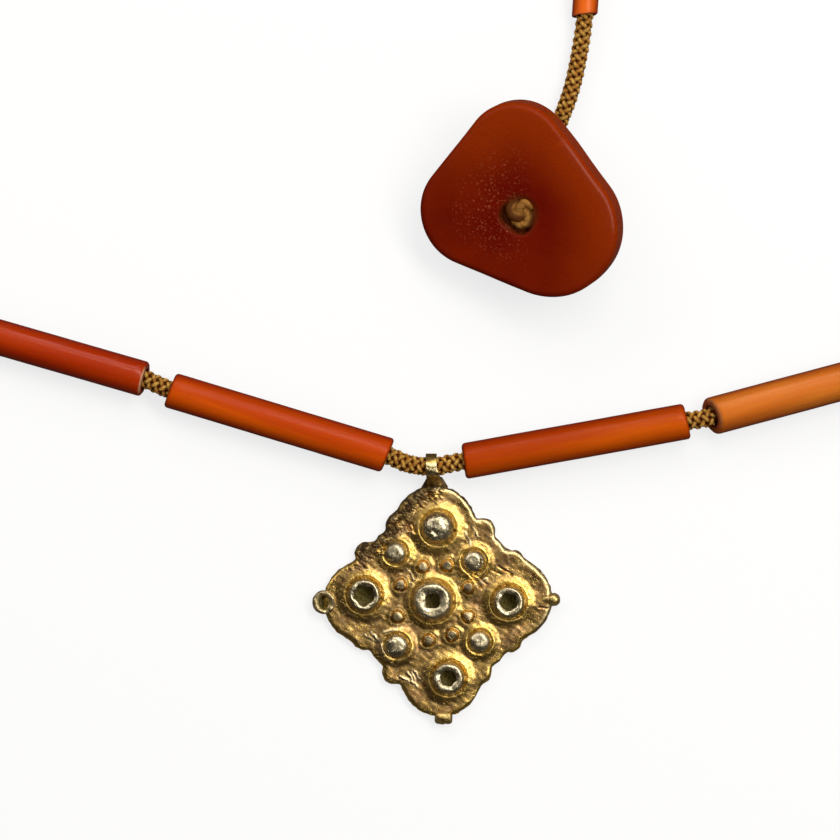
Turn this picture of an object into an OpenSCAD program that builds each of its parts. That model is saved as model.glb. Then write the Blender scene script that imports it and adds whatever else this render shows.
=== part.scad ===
// Charm necklace, laid flat: a braided cord strung with tube beads, a gold cross-shaped charm
// that hangs from the cord by a bail, and a thinner tail with a slim bead and an amber disc.
// Millimetres, +Z up from the surface that the necklace lies on. The tables below are laid out
// from the hang point, where the charm's bail goes over the cord, with +Y away from the charm.

/* [Loop] */
// Thickness of the braid that the loop's beads are strung on
cord_d = 3.7; // [3.3:0.1:3.7]
// Bore of the loop's beads
bead_bore = 4.2; // [4:0.1:4.4]
// Chamfer around their ends
bead_chamfer = 0.5; // [0.2:0.1:0.7]
// Length of the knot that joins the loop's ends
knot_l = 10; // [8:0.5:11]
// Thickness of that knot at its middle
knot_d = 9; // [8:0.5:9.5]

/* [Tail] */
// Thickness of the tail's braid
tail_cord_d = 3.5; // [3:0.1:3.5]
// Thickness of the slim bead
tail_bead_d = 4.9; // [4.8:0.1:5.2]
// Length of the slim bead
tail_bead_l = 43; // [38:1:45]
// Bore of the slim bead
tail_bore = 3.9; // [3.8:0.1:4]
// Chamfer around the slim bead's ends
tail_chamfer = 0.3; // [0.1:0.1:0.3]

/* [Disc] */
// Thickness of the disc
disc_t = 9.5; // [8:0.5:10]
// Radius of its rounded edges
disc_edge_r = 3; // [2:0.5:3.5]
// Diameter of its hole
disc_hole_d = 5.5; // [5.2:0.1:6]
// Wear around the hole's mouth, sideways and down
disc_wear = 0.6; // [0.2:0.1:1]
// Tilt of the disc on the cord under it, in degrees
disc_tilt = 16; // [15:0.5:17]
// Direction in which it rises, in degrees from +X
disc_heading = 35; // [30:1:40]

/* [Charm] */
// Thickness of the charm's hollow plate
plate_t = 2; // [1.8:0.1:2.2]
// Thickness of its sheet metal
sheet_t = 0.45; // [0.35:0.05:0.6]
// Height of the raised ring around a dome
ring_h = 0.6; // [0.3:0.1:0.8]
// Groove between a dome and its ring
groove_w = 0.4; // [0.3:0.1:0.6]
// Height of the small studs above the plate
stud_h = 1.1; // [0.8:0.1:1.4]
// Radius of the small studs
stud_r = 1.1; // [0.9:0.1:1.2]

/* [Bail] */
// Width of the bail's strip
bail_w = 2.6; // [2:0.1:3]
// Thickness of the bail's strip
bail_t = 0.45; // [0.4:0.05:0.6]
// Inner diameter of the bail around the cord
bail_d = 4; // [4:0.1:4.2]

/* [Hidden] */
$fn = 64;

// The two strands of the loop, walked from the front. Headings are in degrees above the level
// line that leads away from the hang point.
GAP = 0;
GAP_HEADING = 1;
HEADING = 2;
LENGTH = 3;
DIAMETER = 4;
left_from = [-8, 1.95];
left_rows = [
    [0, 16.8, 16.8, 44.1, 6.9],
    [4.3, 24, 16.1, 43.3, 6.8],
    [7, 34, 53, 43, 6.9],
    [7, 78, 102, 43, 6.8],
    [7, 125, 148, 43, 6.7],
    [7, 163, 178, 43, 6.9],
    [6, 183, 188, 43, 6.8]
];
right_from = [5.8, 0.95];
right_rows = [
    [0, 10.2, 10.2, 43.7, 6.9],
    [2.7, 8.2, 15, 44.9, 7.3],
    [7, 30, 46, 43, 6.8],
    [7, 70, 95, 43, 6.9],
    [7, 120, 144, 43, 6.8],
    [6, 160, 175, 43, 6.8]
];

function heading_vector(side, deg) = [side * cos(deg), sin(deg)];

// A bead is [start, end, diameter], both points on its axis, seen from above.
START = 0;
END = 1;
WIDTH = 2;
function strand(rows, side, from, i = 0) =
    i == len(rows) ? [] :
    let (
        row = rows[i],
        start = from + row[GAP] * heading_vector(side, row[GAP_HEADING]),
        end = start + row[LENGTH] * heading_vector(side, row[HEADING])
    )
    concat([[start, end, row[DIAMETER]]], strand(rows, side, end, i + 1));

left_beads = strand(left_rows, -1, left_from);
right_beads = strand(right_rows, 1, right_from);
// The slim bead's lower end, and its heading from there
tail_low = [29.05, 85.2];
tail_heading = 86;
tail_high = tail_low + tail_bead_l * heading_vector(1, tail_heading);
slim_bead = [tail_low, tail_high, tail_bead_d];

knot_at = [31, 141.5, knot_d / 2];

// Points on the cord where it dips through the bail, between the two front beads
front_dip = [[-5, 0.65, 3.4], [-1, 0, 3.4], [1.6, 0.1, 3.4], [3.8, 0.66, 3.4]];
// Centre of the bail's loop
bail_at = [0.3, 0.05, 3.4];

// The tail's cord, from the knot down to the slim bead
tail_top = [[31, 136.7, 3.6], [31.4, 134.6, 3.2], [31.9, 131.6, 2.6]];
// and from the slim bead along the surface, under the disc and up into its hole
tail_run = [
    [28.5, 81, 2.2], [27.9, 77.6, 1.9], [27.2, 74.2, 1.75], [26.2, 70.6, 1.75],
    [24.7, 66.6, 1.75], [22.8, 62.1, 1.75], [20.8, 58.1, 1.75], [19.5, 54.8, 1.8],
    [18.9, 52.7, 2.2], [18.6, 51, 3.1], [18.4, 49.7, 4.5], [18.1, 48.9, 6.3],
    [17.5, 48.4, 8.7], [17.1, 48.1, 10.5], [16.7, 47.9, 12.2]
];

// The disc's rounded corners around its hole, along its rise and across it: [x, y, radius]
RADIUS = 2;
disc_corners = [[5.7, 9.7, 9.9], [-7.1, 5.4, 10.6], [3, -5.7, 13]];
disc_hole_at = [17.5, 48.4];
// Height of the disc's middle, with its lowest edge on the surface
disc_low_corner = disc_corners[1];
disc_mid_z = -(disc_low_corner.x - disc_low_corner[RADIUS] + disc_edge_r) * sin(disc_tilt)
    + (disc_t / 2 - disc_edge_r) * cos(disc_tilt) + disc_edge_r;

// The charm's outline, clockwise from the arm at the bail: an arm's lobe, then two ears with a
// bay between them. Each circle is [x, y, radius].
arm_lobes = [[0.55, -11.6, 8], [15, -25.3, 8], [1.7, -40, 7.8], [-12.9, -25.8, 7.85]];
ear_lobes = [
    [9.9, -12.1, 2.25], [15.5, -17.9, 2], [15.1, -33.6, 1.9], [9.5, -39.5, 1.9],
    [-7.4, -39.5, 2.1], [-13.1, -33, 2], [-12.6, -16.6, 2.2], [-6.9, -11, 1.9]
];
// How far the edge swells out in each bay, past the line between its two ears
bay_rises = [0.8, 1, 0.8, 0.75];

// Domes on the plate: [x, y, radius, height, ring's radius, radius of the hole worn in its top]
DOME_R = 2;
DOME_H = 3;
RING_R = 4;
HOLE_R = 5;
domes = [
    [0.1, -25.6, 3.5, 2.9, 4.4, 1.7],
    [1.1, -11.7, 3.05, 2.8, 4.5, 0],
    [-12.9, -24.5, 3.05, 2.2, 4.5, 2.1],
    [14.6, -25.8, 3.05, 2.5, 4.1, 1.7],
    [3.1, -40.3, 3.05, 2.5, 4.2, 1.6],
    [-6.9, -16.5, 2, 1.7, 2.9, 0],
    [8, -18.1, 2.1, 1.8, 2.9, 0],
    [-6.7, -34.2, 2.2, 1.8, 3, 0],
    [9.1, -33.4, 2, 1.7, 2.8, 0]
];
studs = [
    [-1.7, -19.1], [2.9, -18.9], [6.9, -23], [6.9, -28.5],
    [3.8, -32.1], [-0.6, -33.1], [-6.5, -28.6], [-6, -22.5]
];
knob_r = 1.35;
right_knob_at = [23.2, -25.4];
foot_knob_at = [2.2, -47.9];
foot_knob_l = 3.4;
collet_at = [-20.6, -25.9];
collet_r = 2.35;
collet_hole_r = 1.35;
collet_h = 2.6;

// Box of the whole layout seen from above, found from the beads and the charm's foot
function bead_reach(bead, axis, sense) =
    let (
        along = (bead[END] - bead[START]) / norm(bead[END] - bead[START]),
        across = abs(along[1 - axis]),
        r = bead[WIDTH] / 2,
        reaches = [for (end = [[bead[START], 1], [bead[END], -1]]) each [
            sense * end[0][axis] + (r - bead_chamfer) * across,
            sense * (end[0] + end[1] * bead_chamfer * along)[axis] + r * across
        ]]
    )
    max(reaches);
all_beads = concat(left_beads, right_beads);
x_high = max([for (bead = all_beads) bead_reach(bead, 0, 1)]);
x_low = -max([for (bead = all_beads) bead_reach(bead, 0, -1)]);
y_high = max([for (bead = all_beads) bead_reach(bead, 1, 1)]);
y_low = foot_knob_at.y - knob_r;
middle = [(x_low + x_high) / 2, (y_low + y_high) / 2, 0];

// Moves a piece from the layout to the part's own frame
module laid_out() {
    translate(-middle) children();
}

// A point of the layout at a height
function raised(point, z) = [point.x, point.y, z];

// Points on a smooth bend from one straight run to the next
function bend(from, from_dir, to, to_dir) =
    let (corner = (from + to + norm(to - from) / 2 * (from_dir - to_dir)) / 2)
    [for (t = [0.25, 0.5, 0.75]) (1 - t) ^ 2 * from + 2 * t * (1 - t) * corner + t ^ 2 * to];

function unit(v) = v / norm(v);
function bead_dir(bead) = unit(raised(bead[END] - bead[START], 0));
function bead_point(bead, end) = raised(bead[end], bead[WIDTH] / 2);

// The cord's points through a strand of beads and on to a face of the knot
function strand_route(beads, face, face_dir) = [
    for (i = [0:len(beads) - 1])
        let (
            last = i == len(beads) - 1,
            from = bead_point(beads[i], END),
            to = last ? face : bead_point(beads[i + 1], START),
            to_dir = last ? face_dir : bead_dir(beads[i + 1])
        )
        each concat([bead_point(beads[i], START), from], bend(from, bead_dir(beads[i]), to, to_dir))
];

function reversed(list) = [for (i = [len(list) - 1:-1:0]) list[i]];

// The cord's ends stop a small gap from the knot, after a short straight run
knot_gap = 0.3;
knot_reach = [knot_l / 2 + knot_gap, 0, 0];
straight_run = [1.5, 0, 0];
loop_route = concat(
    [knot_at - knot_reach, knot_at - knot_reach - straight_run],
    reversed(strand_route(left_beads, knot_at - knot_reach - straight_run, [1, 0, 0])),
    front_dip,
    strand_route(right_beads, knot_at + knot_reach + straight_run, [-1, 0, 0]),
    [knot_at + knot_reach + straight_run, knot_at + knot_reach]
);
tail_route = concat(
    tail_top,
    [bead_point(slim_bead, END), bead_point(slim_bead, START)],
    tail_run
);

// A tube of round section swept along a route. No part of the route runs along the reference.
module swept_tube(route, radius, reference, sides = 8) {
    last = len(route) - 1;
    rings = [for (i = [0:last])
        let (
            tangent = unit(route[min(i + 1, last)] - route[max(i - 1, 0)]),
            e1 = unit(cross(tangent, reference)),
            e2 = cross(e1, tangent)
        )
        each [for (k = [0:sides - 1])
            route[i] + radius * (cos(360 * (k + 0.5) / sides) * e1 + sin(360 * (k + 0.5) / sides) * e2)
        ]
    ];
    skin = [for (i = [0:last - 1]) each [for (k = [0:sides - 1])
        [i * sides + k, i * sides + (k + 1) % sides, (i + 1) * sides + (k + 1) % sides, (i + 1) * sides + k]
    ]];
    start_cap = [[for (k = [sides - 1:-1:0]) k]];
    end_cap = [[for (k = [0:sides - 1]) last * sides + k]];
    polyhedron(rings, concat(skin, start_cap, end_cap), convexity = 10);
}

// The loop lies level, so its rings are turned from the vertical. The tail climbs through the
// disc, so its rings are turned from a line across it.
LOOP_REFERENCE = [0, 0, 1];
TAIL_REFERENCE = [1, -0.2, 0];

module loop_cord() {
    color("peru") laid_out() swept_tube(loop_route, cord_d / 2, LOOP_REFERENCE);
}

module tail_cord() {
    color("peru") laid_out() swept_tube(tail_route, tail_cord_d / 2, TAIL_REFERENCE);
}

// A drilled tube along Z, chamfered at both ends
module tube_bead(length, width, bore, chamfer) {
    rotate_extrude() polygon([
        [bore / 2, 0],
        [width / 2 - chamfer, 0],
        [width / 2, chamfer],
        [width / 2, length - chamfer],
        [width / 2 - chamfer, length],
        [bore / 2, length]
    ]);
}

module lying_bead(bead, bore, chamfer) {
    run = bead[END] - bead[START];
    laid_out()
        translate(bead_point(bead, START))
        rotate([0, 90, atan2(run.y, run.x)])
        tube_bead(norm(run), bead[WIDTH], bore, chamfer);
}

module loop_bead(bead) {
    color("orangered") lying_bead(bead, bead_bore, bead_chamfer);
}

module tail_bead() {
    color("tomato") lying_bead(slim_bead, tail_bore, tail_chamfer);
}

// How far the knot's end faces stand out around the cord
knot_lip = 1;

// The knot is a barrel: an arc turned around the cord's line
module join_knot() {
    face_r = cord_d / 2 + knot_lip;
    sag = knot_d / 2 - face_r;
    arc_r = ((knot_l / 2) ^ 2 + sag ^ 2) / (2 * sag);
    color("sienna") laid_out() translate(knot_at) rotate([0, 90, 0]) rotate_extrude()
        intersection() {
            translate([knot_d / 2 - arc_r, 0]) circle(r = arc_r, $fn = 128);
            translate([0, -knot_l / 2]) square([knot_d, knot_l]);
        }
}

// One corner of the disc, rounded at both of its edges
module disc_corner(radius) {
    steps = 5;
    core = radius - disc_edge_r;
    rise = disc_t / 2 - disc_edge_r;
    edge = [for (i = [0:steps])
        let (a = 90 * i / steps) [core + disc_edge_r * cos(a), rise + disc_edge_r * sin(a)]
    ];
    rotate_extrude($fn = 32) polygon(concat(
        [[0, -disc_t / 2]],
        [for (p = reversed(edge)) [p.x, -p.y]],
        edge,
        [[0, disc_t / 2]]
    ));
}

module disc() {
    color("darkred") laid_out()
        translate(raised(disc_hole_at, disc_mid_z))
        rotate([0, 0, disc_heading])
        rotate([0, -disc_tilt, 0])
        difference() {
            hull() for (corner = disc_corners)
                translate([corner.x, corner.y]) disc_corner(corner[RADIUS]);
            cylinder(d = disc_hole_d, h = 2 * disc_t, center = true);
            for (side = [-1, 1])
                mirror([0, 0, side < 0 ? 1 : 0])
                translate([0, 0, disc_t / 2 - disc_wear])
                cylinder(r1 = disc_hole_d / 2, r2 = disc_hole_d / 2 + 2 * disc_wear, h = 2 * disc_wear);
        }
}

// Where the edge lies in the bay midway between the two ears of a pair
function bay_point(pair, inset) =
    let (
        a = ear_lobes[2 * pair],
        b = ear_lobes[2 * pair + 1],
        run = unit([b.x - a.x, b.y - a.y])
    )
    [(a.x + b.x) / 2, (a.y + b.y) / 2] + (bay_rises[pair] - inset) * [-run.y, run.x];

// The charm's outline, drawn in by the inset
module charm_outline(inset) {
    for (lobe = concat(arm_lobes, ear_lobes))
        translate([lobe.x, lobe.y]) circle(r = lobe[RADIUS] - inset);
    polygon([for (i = [0:3]) each [
        [arm_lobes[i].x, arm_lobes[i].y],
        [ear_lobes[2 * i].x, ear_lobes[2 * i].y],
        bay_point(i, inset),
        [ear_lobes[2 * i + 1].x, ear_lobes[2 * i + 1].y]
    ]]);
}

// Half the section of a dome: a cap of a sphere, with its foot sunk into the plate
module dome_section(dome, inset, foot) {
    cap_r = (dome[DOME_R] ^ 2 + dome[DOME_H] ^ 2) / (2 * dome[DOME_H]);
    intersection() {
        translate([0, plate_t + dome[DOME_H] - cap_r]) circle(r = cap_r - inset);
        translate([0, foot]) square([dome[DOME_R] - inset, plate_t + dome[DOME_H]]);
    }
}

module dome(dome) {
    translate([dome.x, dome.y]) {
        rotate_extrude() dome_section(dome, 0, plate_t / 2);
        rotate_extrude() translate([dome[DOME_R] + groove_w, plate_t / 2])
            square([dome[RING_R] - dome[DOME_R] - groove_w, plate_t / 2 + ring_h]);
    }
}

// The air in a dome, and the hole worn in its top
module dome_hollow(dome) {
    translate([dome.x, dome.y]) {
        rotate_extrude() dome_section(dome, sheet_t, plate_t / 2);
        if (dome[HOLE_R] > 0)
            translate([0, 0, plate_t / 2]) cylinder(r = dome[HOLE_R], h = plate_t + dome[DOME_H]);
    }
}

// A round bar along X with chamfered ends, at the foot of the charm
module foot_knob() {
    translate([foot_knob_at.x, foot_knob_at.y, knob_r])
        rotate([0, 90, 0])
        rotate_extrude()
        polygon([
            [0, -foot_knob_l / 2],
            [knob_r / 2, -foot_knob_l / 2],
            [knob_r, -foot_knob_l / 2 + knob_r / 2],
            [knob_r, foot_knob_l / 2 - knob_r / 2],
            [knob_r / 2, foot_knob_l / 2],
            [0, foot_knob_l / 2]
        ]);
}

// How far the bail's foot reaches in over the plate's edge
bail_overlap = 0.9;
// How far the legs stay apart above that foot, before the solder closes them
bail_web = 1.1;
// Height of the lower leg over the surface at the foot
bail_rest = 0.2;
// How far inside the loop's circle a leg's line starts
bail_blend = 0.2;

// The strip that goes round the cord, its two legs drawn together at the plate's edge
module bail() {
    seat_y = arm_lobes[0].y + arm_lobes[0][RADIUS] - bail_overlap;
    inner_r = bail_d / 2;
    outer_r = inner_r + bail_t;
    translate([bail_at.x - bail_w / 2, 0, 0]) rotate([90, 0, 90]) linear_extrude(bail_w)
        difference() {
            union() {
                translate([bail_at.y, bail_at.z]) circle(r = outer_r);
                polygon([
                    [bail_at.y, bail_at.z + outer_r - bail_blend],
                    [seat_y, plate_t + bail_t],
                    [seat_y, bail_rest],
                    [bail_at.y, bail_at.z - outer_r + bail_blend]
                ]);
            }
            translate([bail_at.y, bail_at.z]) circle(r = inner_r);
            polygon([
                [bail_at.y, bail_at.z + inner_r - bail_blend],
                [seat_y + bail_web, plate_t],
                [seat_y + bail_web, bail_rest + bail_t],
                [bail_at.y, bail_at.z - inner_r + bail_blend]
            ]);
        }
}

// Height of the tab's underside over the surface, and the tab's thickness
tab_rest = 0.3;
tab_t = 0.6;
tab_outline = [[-0.9, -2], [1.9, -2], [3.1, -3.9], [2.7, -4.8], [-1.8, -4.8], [-2.1, -4.1]];

// The flared tab behind the bail, soldered to the plate's edge
module bail_tab() {
    translate([0, 0, tab_rest]) linear_extrude(tab_t) polygon(tab_outline);
}

module charm() {
    color("goldenrod") laid_out() {
        difference() {
            union() {
                linear_extrude(plate_t) charm_outline(0);
                for (row = domes) dome(row);
                for (at = studs)
                    translate([at.x, at.y, plate_t / 2])
                    cylinder(r = stud_r, h = plate_t / 2 + stud_h);
                translate([right_knob_at.x, right_knob_at.y, knob_r]) sphere(r = knob_r);
                translate([collet_at.x, collet_at.y]) cylinder(r = collet_r, h = collet_h);
                foot_knob();
            }
            translate([0, 0, sheet_t]) linear_extrude(plate_t - 2 * sheet_t) charm_outline(sheet_t);
            for (row = domes) dome_hollow(row);
            translate([collet_at.x, collet_at.y, sheet_t])
                cylinder(r = collet_hole_r, h = collet_h);
        }
        bail();
        bail_tab();
    }
}

loop_cord();
tail_cord();
join_knot();
tail_bead();
disc();
charm();
for (i = [1:len(left_beads)])
    loop_bead(left_beads[i - 1]);
for (i = [1:len(right_beads)])
    loop_bead(right_beads[i - 1]);
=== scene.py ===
"""A charm necklace that lies on a pale table: braid, tube beads, a gold cross charm and an amber disc.

Sizes are in millimetres and become metres where a mesh is placed. Points of the layout are measured
from the hang point, where the charm's bail goes over the cord, with +Y away from the charm.
"""
import logging
import math
from collections.abc import Callable
from dataclasses import dataclass
from enum import Enum

import bmesh
import bpy
import numpy as np
from mathutils import Matrix, Vector


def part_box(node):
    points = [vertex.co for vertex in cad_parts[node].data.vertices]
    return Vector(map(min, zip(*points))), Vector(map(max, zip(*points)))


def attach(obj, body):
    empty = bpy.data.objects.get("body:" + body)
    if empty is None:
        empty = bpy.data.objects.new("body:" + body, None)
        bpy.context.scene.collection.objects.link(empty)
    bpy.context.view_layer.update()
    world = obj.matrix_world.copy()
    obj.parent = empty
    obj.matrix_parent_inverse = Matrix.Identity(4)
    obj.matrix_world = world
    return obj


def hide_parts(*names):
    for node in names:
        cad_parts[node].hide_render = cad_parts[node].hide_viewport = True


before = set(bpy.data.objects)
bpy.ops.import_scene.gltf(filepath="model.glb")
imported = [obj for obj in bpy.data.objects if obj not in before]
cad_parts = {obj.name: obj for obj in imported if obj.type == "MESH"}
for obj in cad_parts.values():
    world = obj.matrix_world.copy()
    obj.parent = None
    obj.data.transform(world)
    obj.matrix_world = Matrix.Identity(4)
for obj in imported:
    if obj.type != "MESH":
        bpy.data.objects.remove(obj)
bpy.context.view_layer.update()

LOG = logging.getLogger("necklace")
MM = 0.001
TAU = 2.0 * math.pi
BODY = "root"
Colour = tuple[float, float, float, float]


def srgb(red: int, green: int, blue: int) -> Colour:
    """Gives the linear colour of a display colour whose channels run from 0 to 255.

    Args:
        red: Its red channel.
        green: Its green channel.
        blue: Its blue channel.

    Returns:
        The linear colour.
    """
    def linear(channel: int) -> float:
        """Turns one channel linear."""
        value = channel / 255.0
        return value / 12.92 if value <= 0.04045 else ((value + 0.055) / 1.055) ** 2.4
    return (linear(red), linear(green), linear(blue), 1.0)


def smoothstep(low: float, high: float, value: np.ndarray) -> np.ndarray:
    """Rises smoothly from 0 at low to 1 at high. With low above high it falls."""
    t = np.clip((value - low) / (high - low), 0.0, 1.0)
    return t * t * (3.0 - 2.0 * t)


def ripple(x: np.ndarray, y: np.ndarray, wavelength: float, seed: int, waves: int = 10) -> np.ndarray:
    """Adds up a few seeded waves of about one wavelength.

    Args:
        x: First coordinates, in millimetres.
        y: Second coordinates, in millimetres.
        wavelength: Rough distance between two crests.
        seed: Picks the directions and phases.
        waves: How many waves are added.

    Returns:
        Values that lie mostly between -1 and 1.
    """
    draw = np.random.default_rng(seed)
    total = np.zeros_like(x, dtype=float)
    for _ in range(waves):
        angle, phase = draw.uniform(0.0, TAU, 2)
        rate = TAU / (wavelength * draw.uniform(0.7, 1.5))
        total += np.sin(rate * (x * math.cos(angle) + y * math.sin(angle)) + phase)
    return total * math.sqrt(2.0 / waves) * 0.6


@dataclass(frozen=True)
class Layout:
    """Puts points of the layout into the frame."""

    hang: Vector

    @classmethod
    def from_frame(cls) -> "Layout":
        """Finds the hang point from the charm's box: its collet reaches furthest left, its knob lowest.

        Returns:
            The layout.
        """
        low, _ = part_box("charm")
        left_reach = -(COLLET.x - COLLET.radius)
        low_reach = -(FOOT_KNOB_Y - KNOB_RADIUS)
        return cls(Vector((low.x + left_reach * MM, low.y + low_reach * MM, 0.0)))

    def place(self, points: np.ndarray) -> np.ndarray:
        """Turns points of the layout, in millimetres, into points of the frame, in metres."""
        return np.asarray(points, float) * MM + np.array(self.hang)


class Bench:
    """Modelling operators, called the way they are used by hand."""

    @staticmethod
    def clear() -> None:
        """Leaves edit mode and deselects everything."""
        active = bpy.context.view_layer.objects.active
        if active is not None and active.mode != "OBJECT":
            bpy.ops.object.mode_set(mode="OBJECT")
        bpy.ops.object.select_all(action="DESELECT")

    @staticmethod
    def take(piece: bpy.types.Object) -> None:
        """Selects one piece and makes it the active one.

        Args:
            piece: The piece.
        """
        Bench.clear()
        piece.select_set(True)
        bpy.context.view_layer.objects.active = piece

    @staticmethod
    def edit(piece: bpy.types.Object) -> None:
        """Goes into edit mode with everything on a piece selected.

        Args:
            piece: The piece.
        """
        Bench.take(piece)
        bpy.ops.object.mode_set(mode="EDIT")
        bpy.ops.mesh.select_all(action="SELECT")

    @staticmethod
    def leave(outward: bool = False) -> None:
        """Leaves edit mode, after the normals were turned outward if that is asked for.

        Args:
            outward: Whether the normals are turned outward first.
        """
        if outward:
            bpy.ops.mesh.select_all(action="SELECT")
            bpy.ops.mesh.normals_make_consistent(inside=False)
        bpy.ops.object.mode_set(mode="OBJECT")

    @staticmethod
    def cylinder(radius: float, depth: float, sides: int) -> bpy.types.Object:
        """Adds a closed cylinder along Z, centred on the origin.

        Args:
            radius: Radius in millimetres.
            depth: Height in millimetres.
            sides: Number of sides.

        Returns:
            The cylinder.
        """
        Bench.clear()
        bpy.ops.mesh.primitive_cylinder_add(vertices=sides, radius=radius, depth=depth, location=(0, 0, 0))
        return bpy.context.object

    @staticmethod
    def grid(columns: int, rows: int) -> tuple[bpy.types.Object, np.ndarray, np.ndarray]:
        """Adds a net of faces.

        Args:
            columns: Number of faces along X.
            rows: Number of faces along Y.

        Returns:
            The net, and each point's share of the way along X and along Y.
        """
        Bench.clear()
        bpy.ops.mesh.primitive_grid_add(x_subdivisions=columns, y_subdivisions=rows, size=1.0)
        net = bpy.context.object
        across, along, _ = (Bench.points(net) + 0.5).T
        return net, across, along

    @staticmethod
    def pick(piece: bpy.types.Object, kind: str, test: Callable[[list[Vector], Vector], bool]) -> None:
        """Goes into edit mode and selects the elements that pass a test.

        Args:
            piece: The piece to select on.
            kind: EDGE or FACE.
            test: Gets an element's corners and a face's normal, and says whether it is picked.
        """
        if piece.mode != "EDIT":
            Bench.edit(piece)
        bpy.ops.mesh.select_mode(type=kind)
        bpy.ops.mesh.select_all(action="DESELECT")
        mesh = bmesh.from_edit_mesh(piece.data)
        for element in mesh.edges if kind == "EDGE" else mesh.faces:
            normal = Vector() if kind == "EDGE" else element.normal
            if test([vertex.co for vertex in element.verts], normal):
                element.select_set(True)
        mesh.select_flush_mode()
        bmesh.update_edit_mesh(piece.data)

    @staticmethod
    def modify(piece: bpy.types.Object, kind: str, **settings: object) -> None:
        """Adds a modifier with its settings and applies it.

        Args:
            piece: The piece.
            kind: The modifier's type.
            settings: Values for its settings.
        """
        Bench.take(piece)
        modifier = piece.modifiers.new(kind.lower(), kind)
        for key, value in settings.items():
            setattr(modifier, key, value)
        bpy.ops.object.modifier_apply(modifier=modifier.name)

    @staticmethod
    def smooth(piece: bpy.types.Object, degrees: float = 40.0) -> None:
        """Shades a piece smooth where its faces meet at less than an angle."""
        Bench.take(piece)
        bpy.ops.object.shade_smooth_by_angle(angle=math.radians(degrees))

    @staticmethod
    def join(first: bpy.types.Object, *others: bpy.types.Object) -> bpy.types.Object:
        """Joins pieces into the first one.

        Args:
            first: The piece that takes the others in.
            others: The pieces that join it.

        Returns:
            The joined piece.
        """
        Bench.take(first)
        for other in others:
            other.select_set(True)
        bpy.ops.object.join()
        return bpy.context.object

    @staticmethod
    def points(piece: bpy.types.Object) -> np.ndarray:
        """Reads a piece's points as rows.

        Args:
            piece: The piece.

        Returns:
            A row of coordinates for each point.
        """
        flat = np.empty(len(piece.data.vertices) * 3, np.float32)
        piece.data.vertices.foreach_get("co", flat)
        return flat.reshape(-1, 3).astype(float)

    @staticmethod
    def move_points(piece: bpy.types.Object, points: np.ndarray) -> None:
        """Writes a piece's points from rows."""
        piece.data.vertices.foreach_set("co", points.astype(np.float32).ravel())
        piece.data.update()

    @staticmethod
    def write(piece: bpy.types.Object, name: str, values: np.ndarray) -> None:
        """Stores a number, a vector or a colour for each point of a piece, for its material to read.

        Args:
            piece: The piece.
            name: The attribute's name.
            values: A value or a row for each point.
        """
        width = 1 if values.ndim == 1 else values.shape[1]
        kind, key = {1: ("FLOAT", "value"), 3: ("FLOAT_VECTOR", "vector"), 4: ("FLOAT_COLOR", "color")}[width]
        attribute = piece.data.attributes.new(name, kind, "POINT")
        attribute.data.foreach_set(key, values.astype(np.float32).ravel())


def hand_over(
    piece: bpy.types.Object, layout: Layout, name: str, material: bpy.types.Material, slot: str, node: str
) -> None:
    """Places and dresses a finished piece, and tells the frame what it stands for.

    Args:
        piece: The finished piece, in the layout's millimetres.
        layout: Where the layout lies in the frame.
        name: The piece's name.
        material: The finish it wears.
        slot: Not used.
        node: The solid that the piece stands for.
    """
    Bench.clear()
    Bench.move_points(piece, layout.place(Bench.points(piece)))
    piece.name = piece.data.name = name
    piece.data.materials.clear()
    piece.data.materials.append(material)
    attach(piece, BODY)
    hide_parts(node)
    piece.data.calc_loop_triangles()
    LOG.info("%s: %d triangles, for %s", name, len(piece.data.loop_triangles), node)


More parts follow.
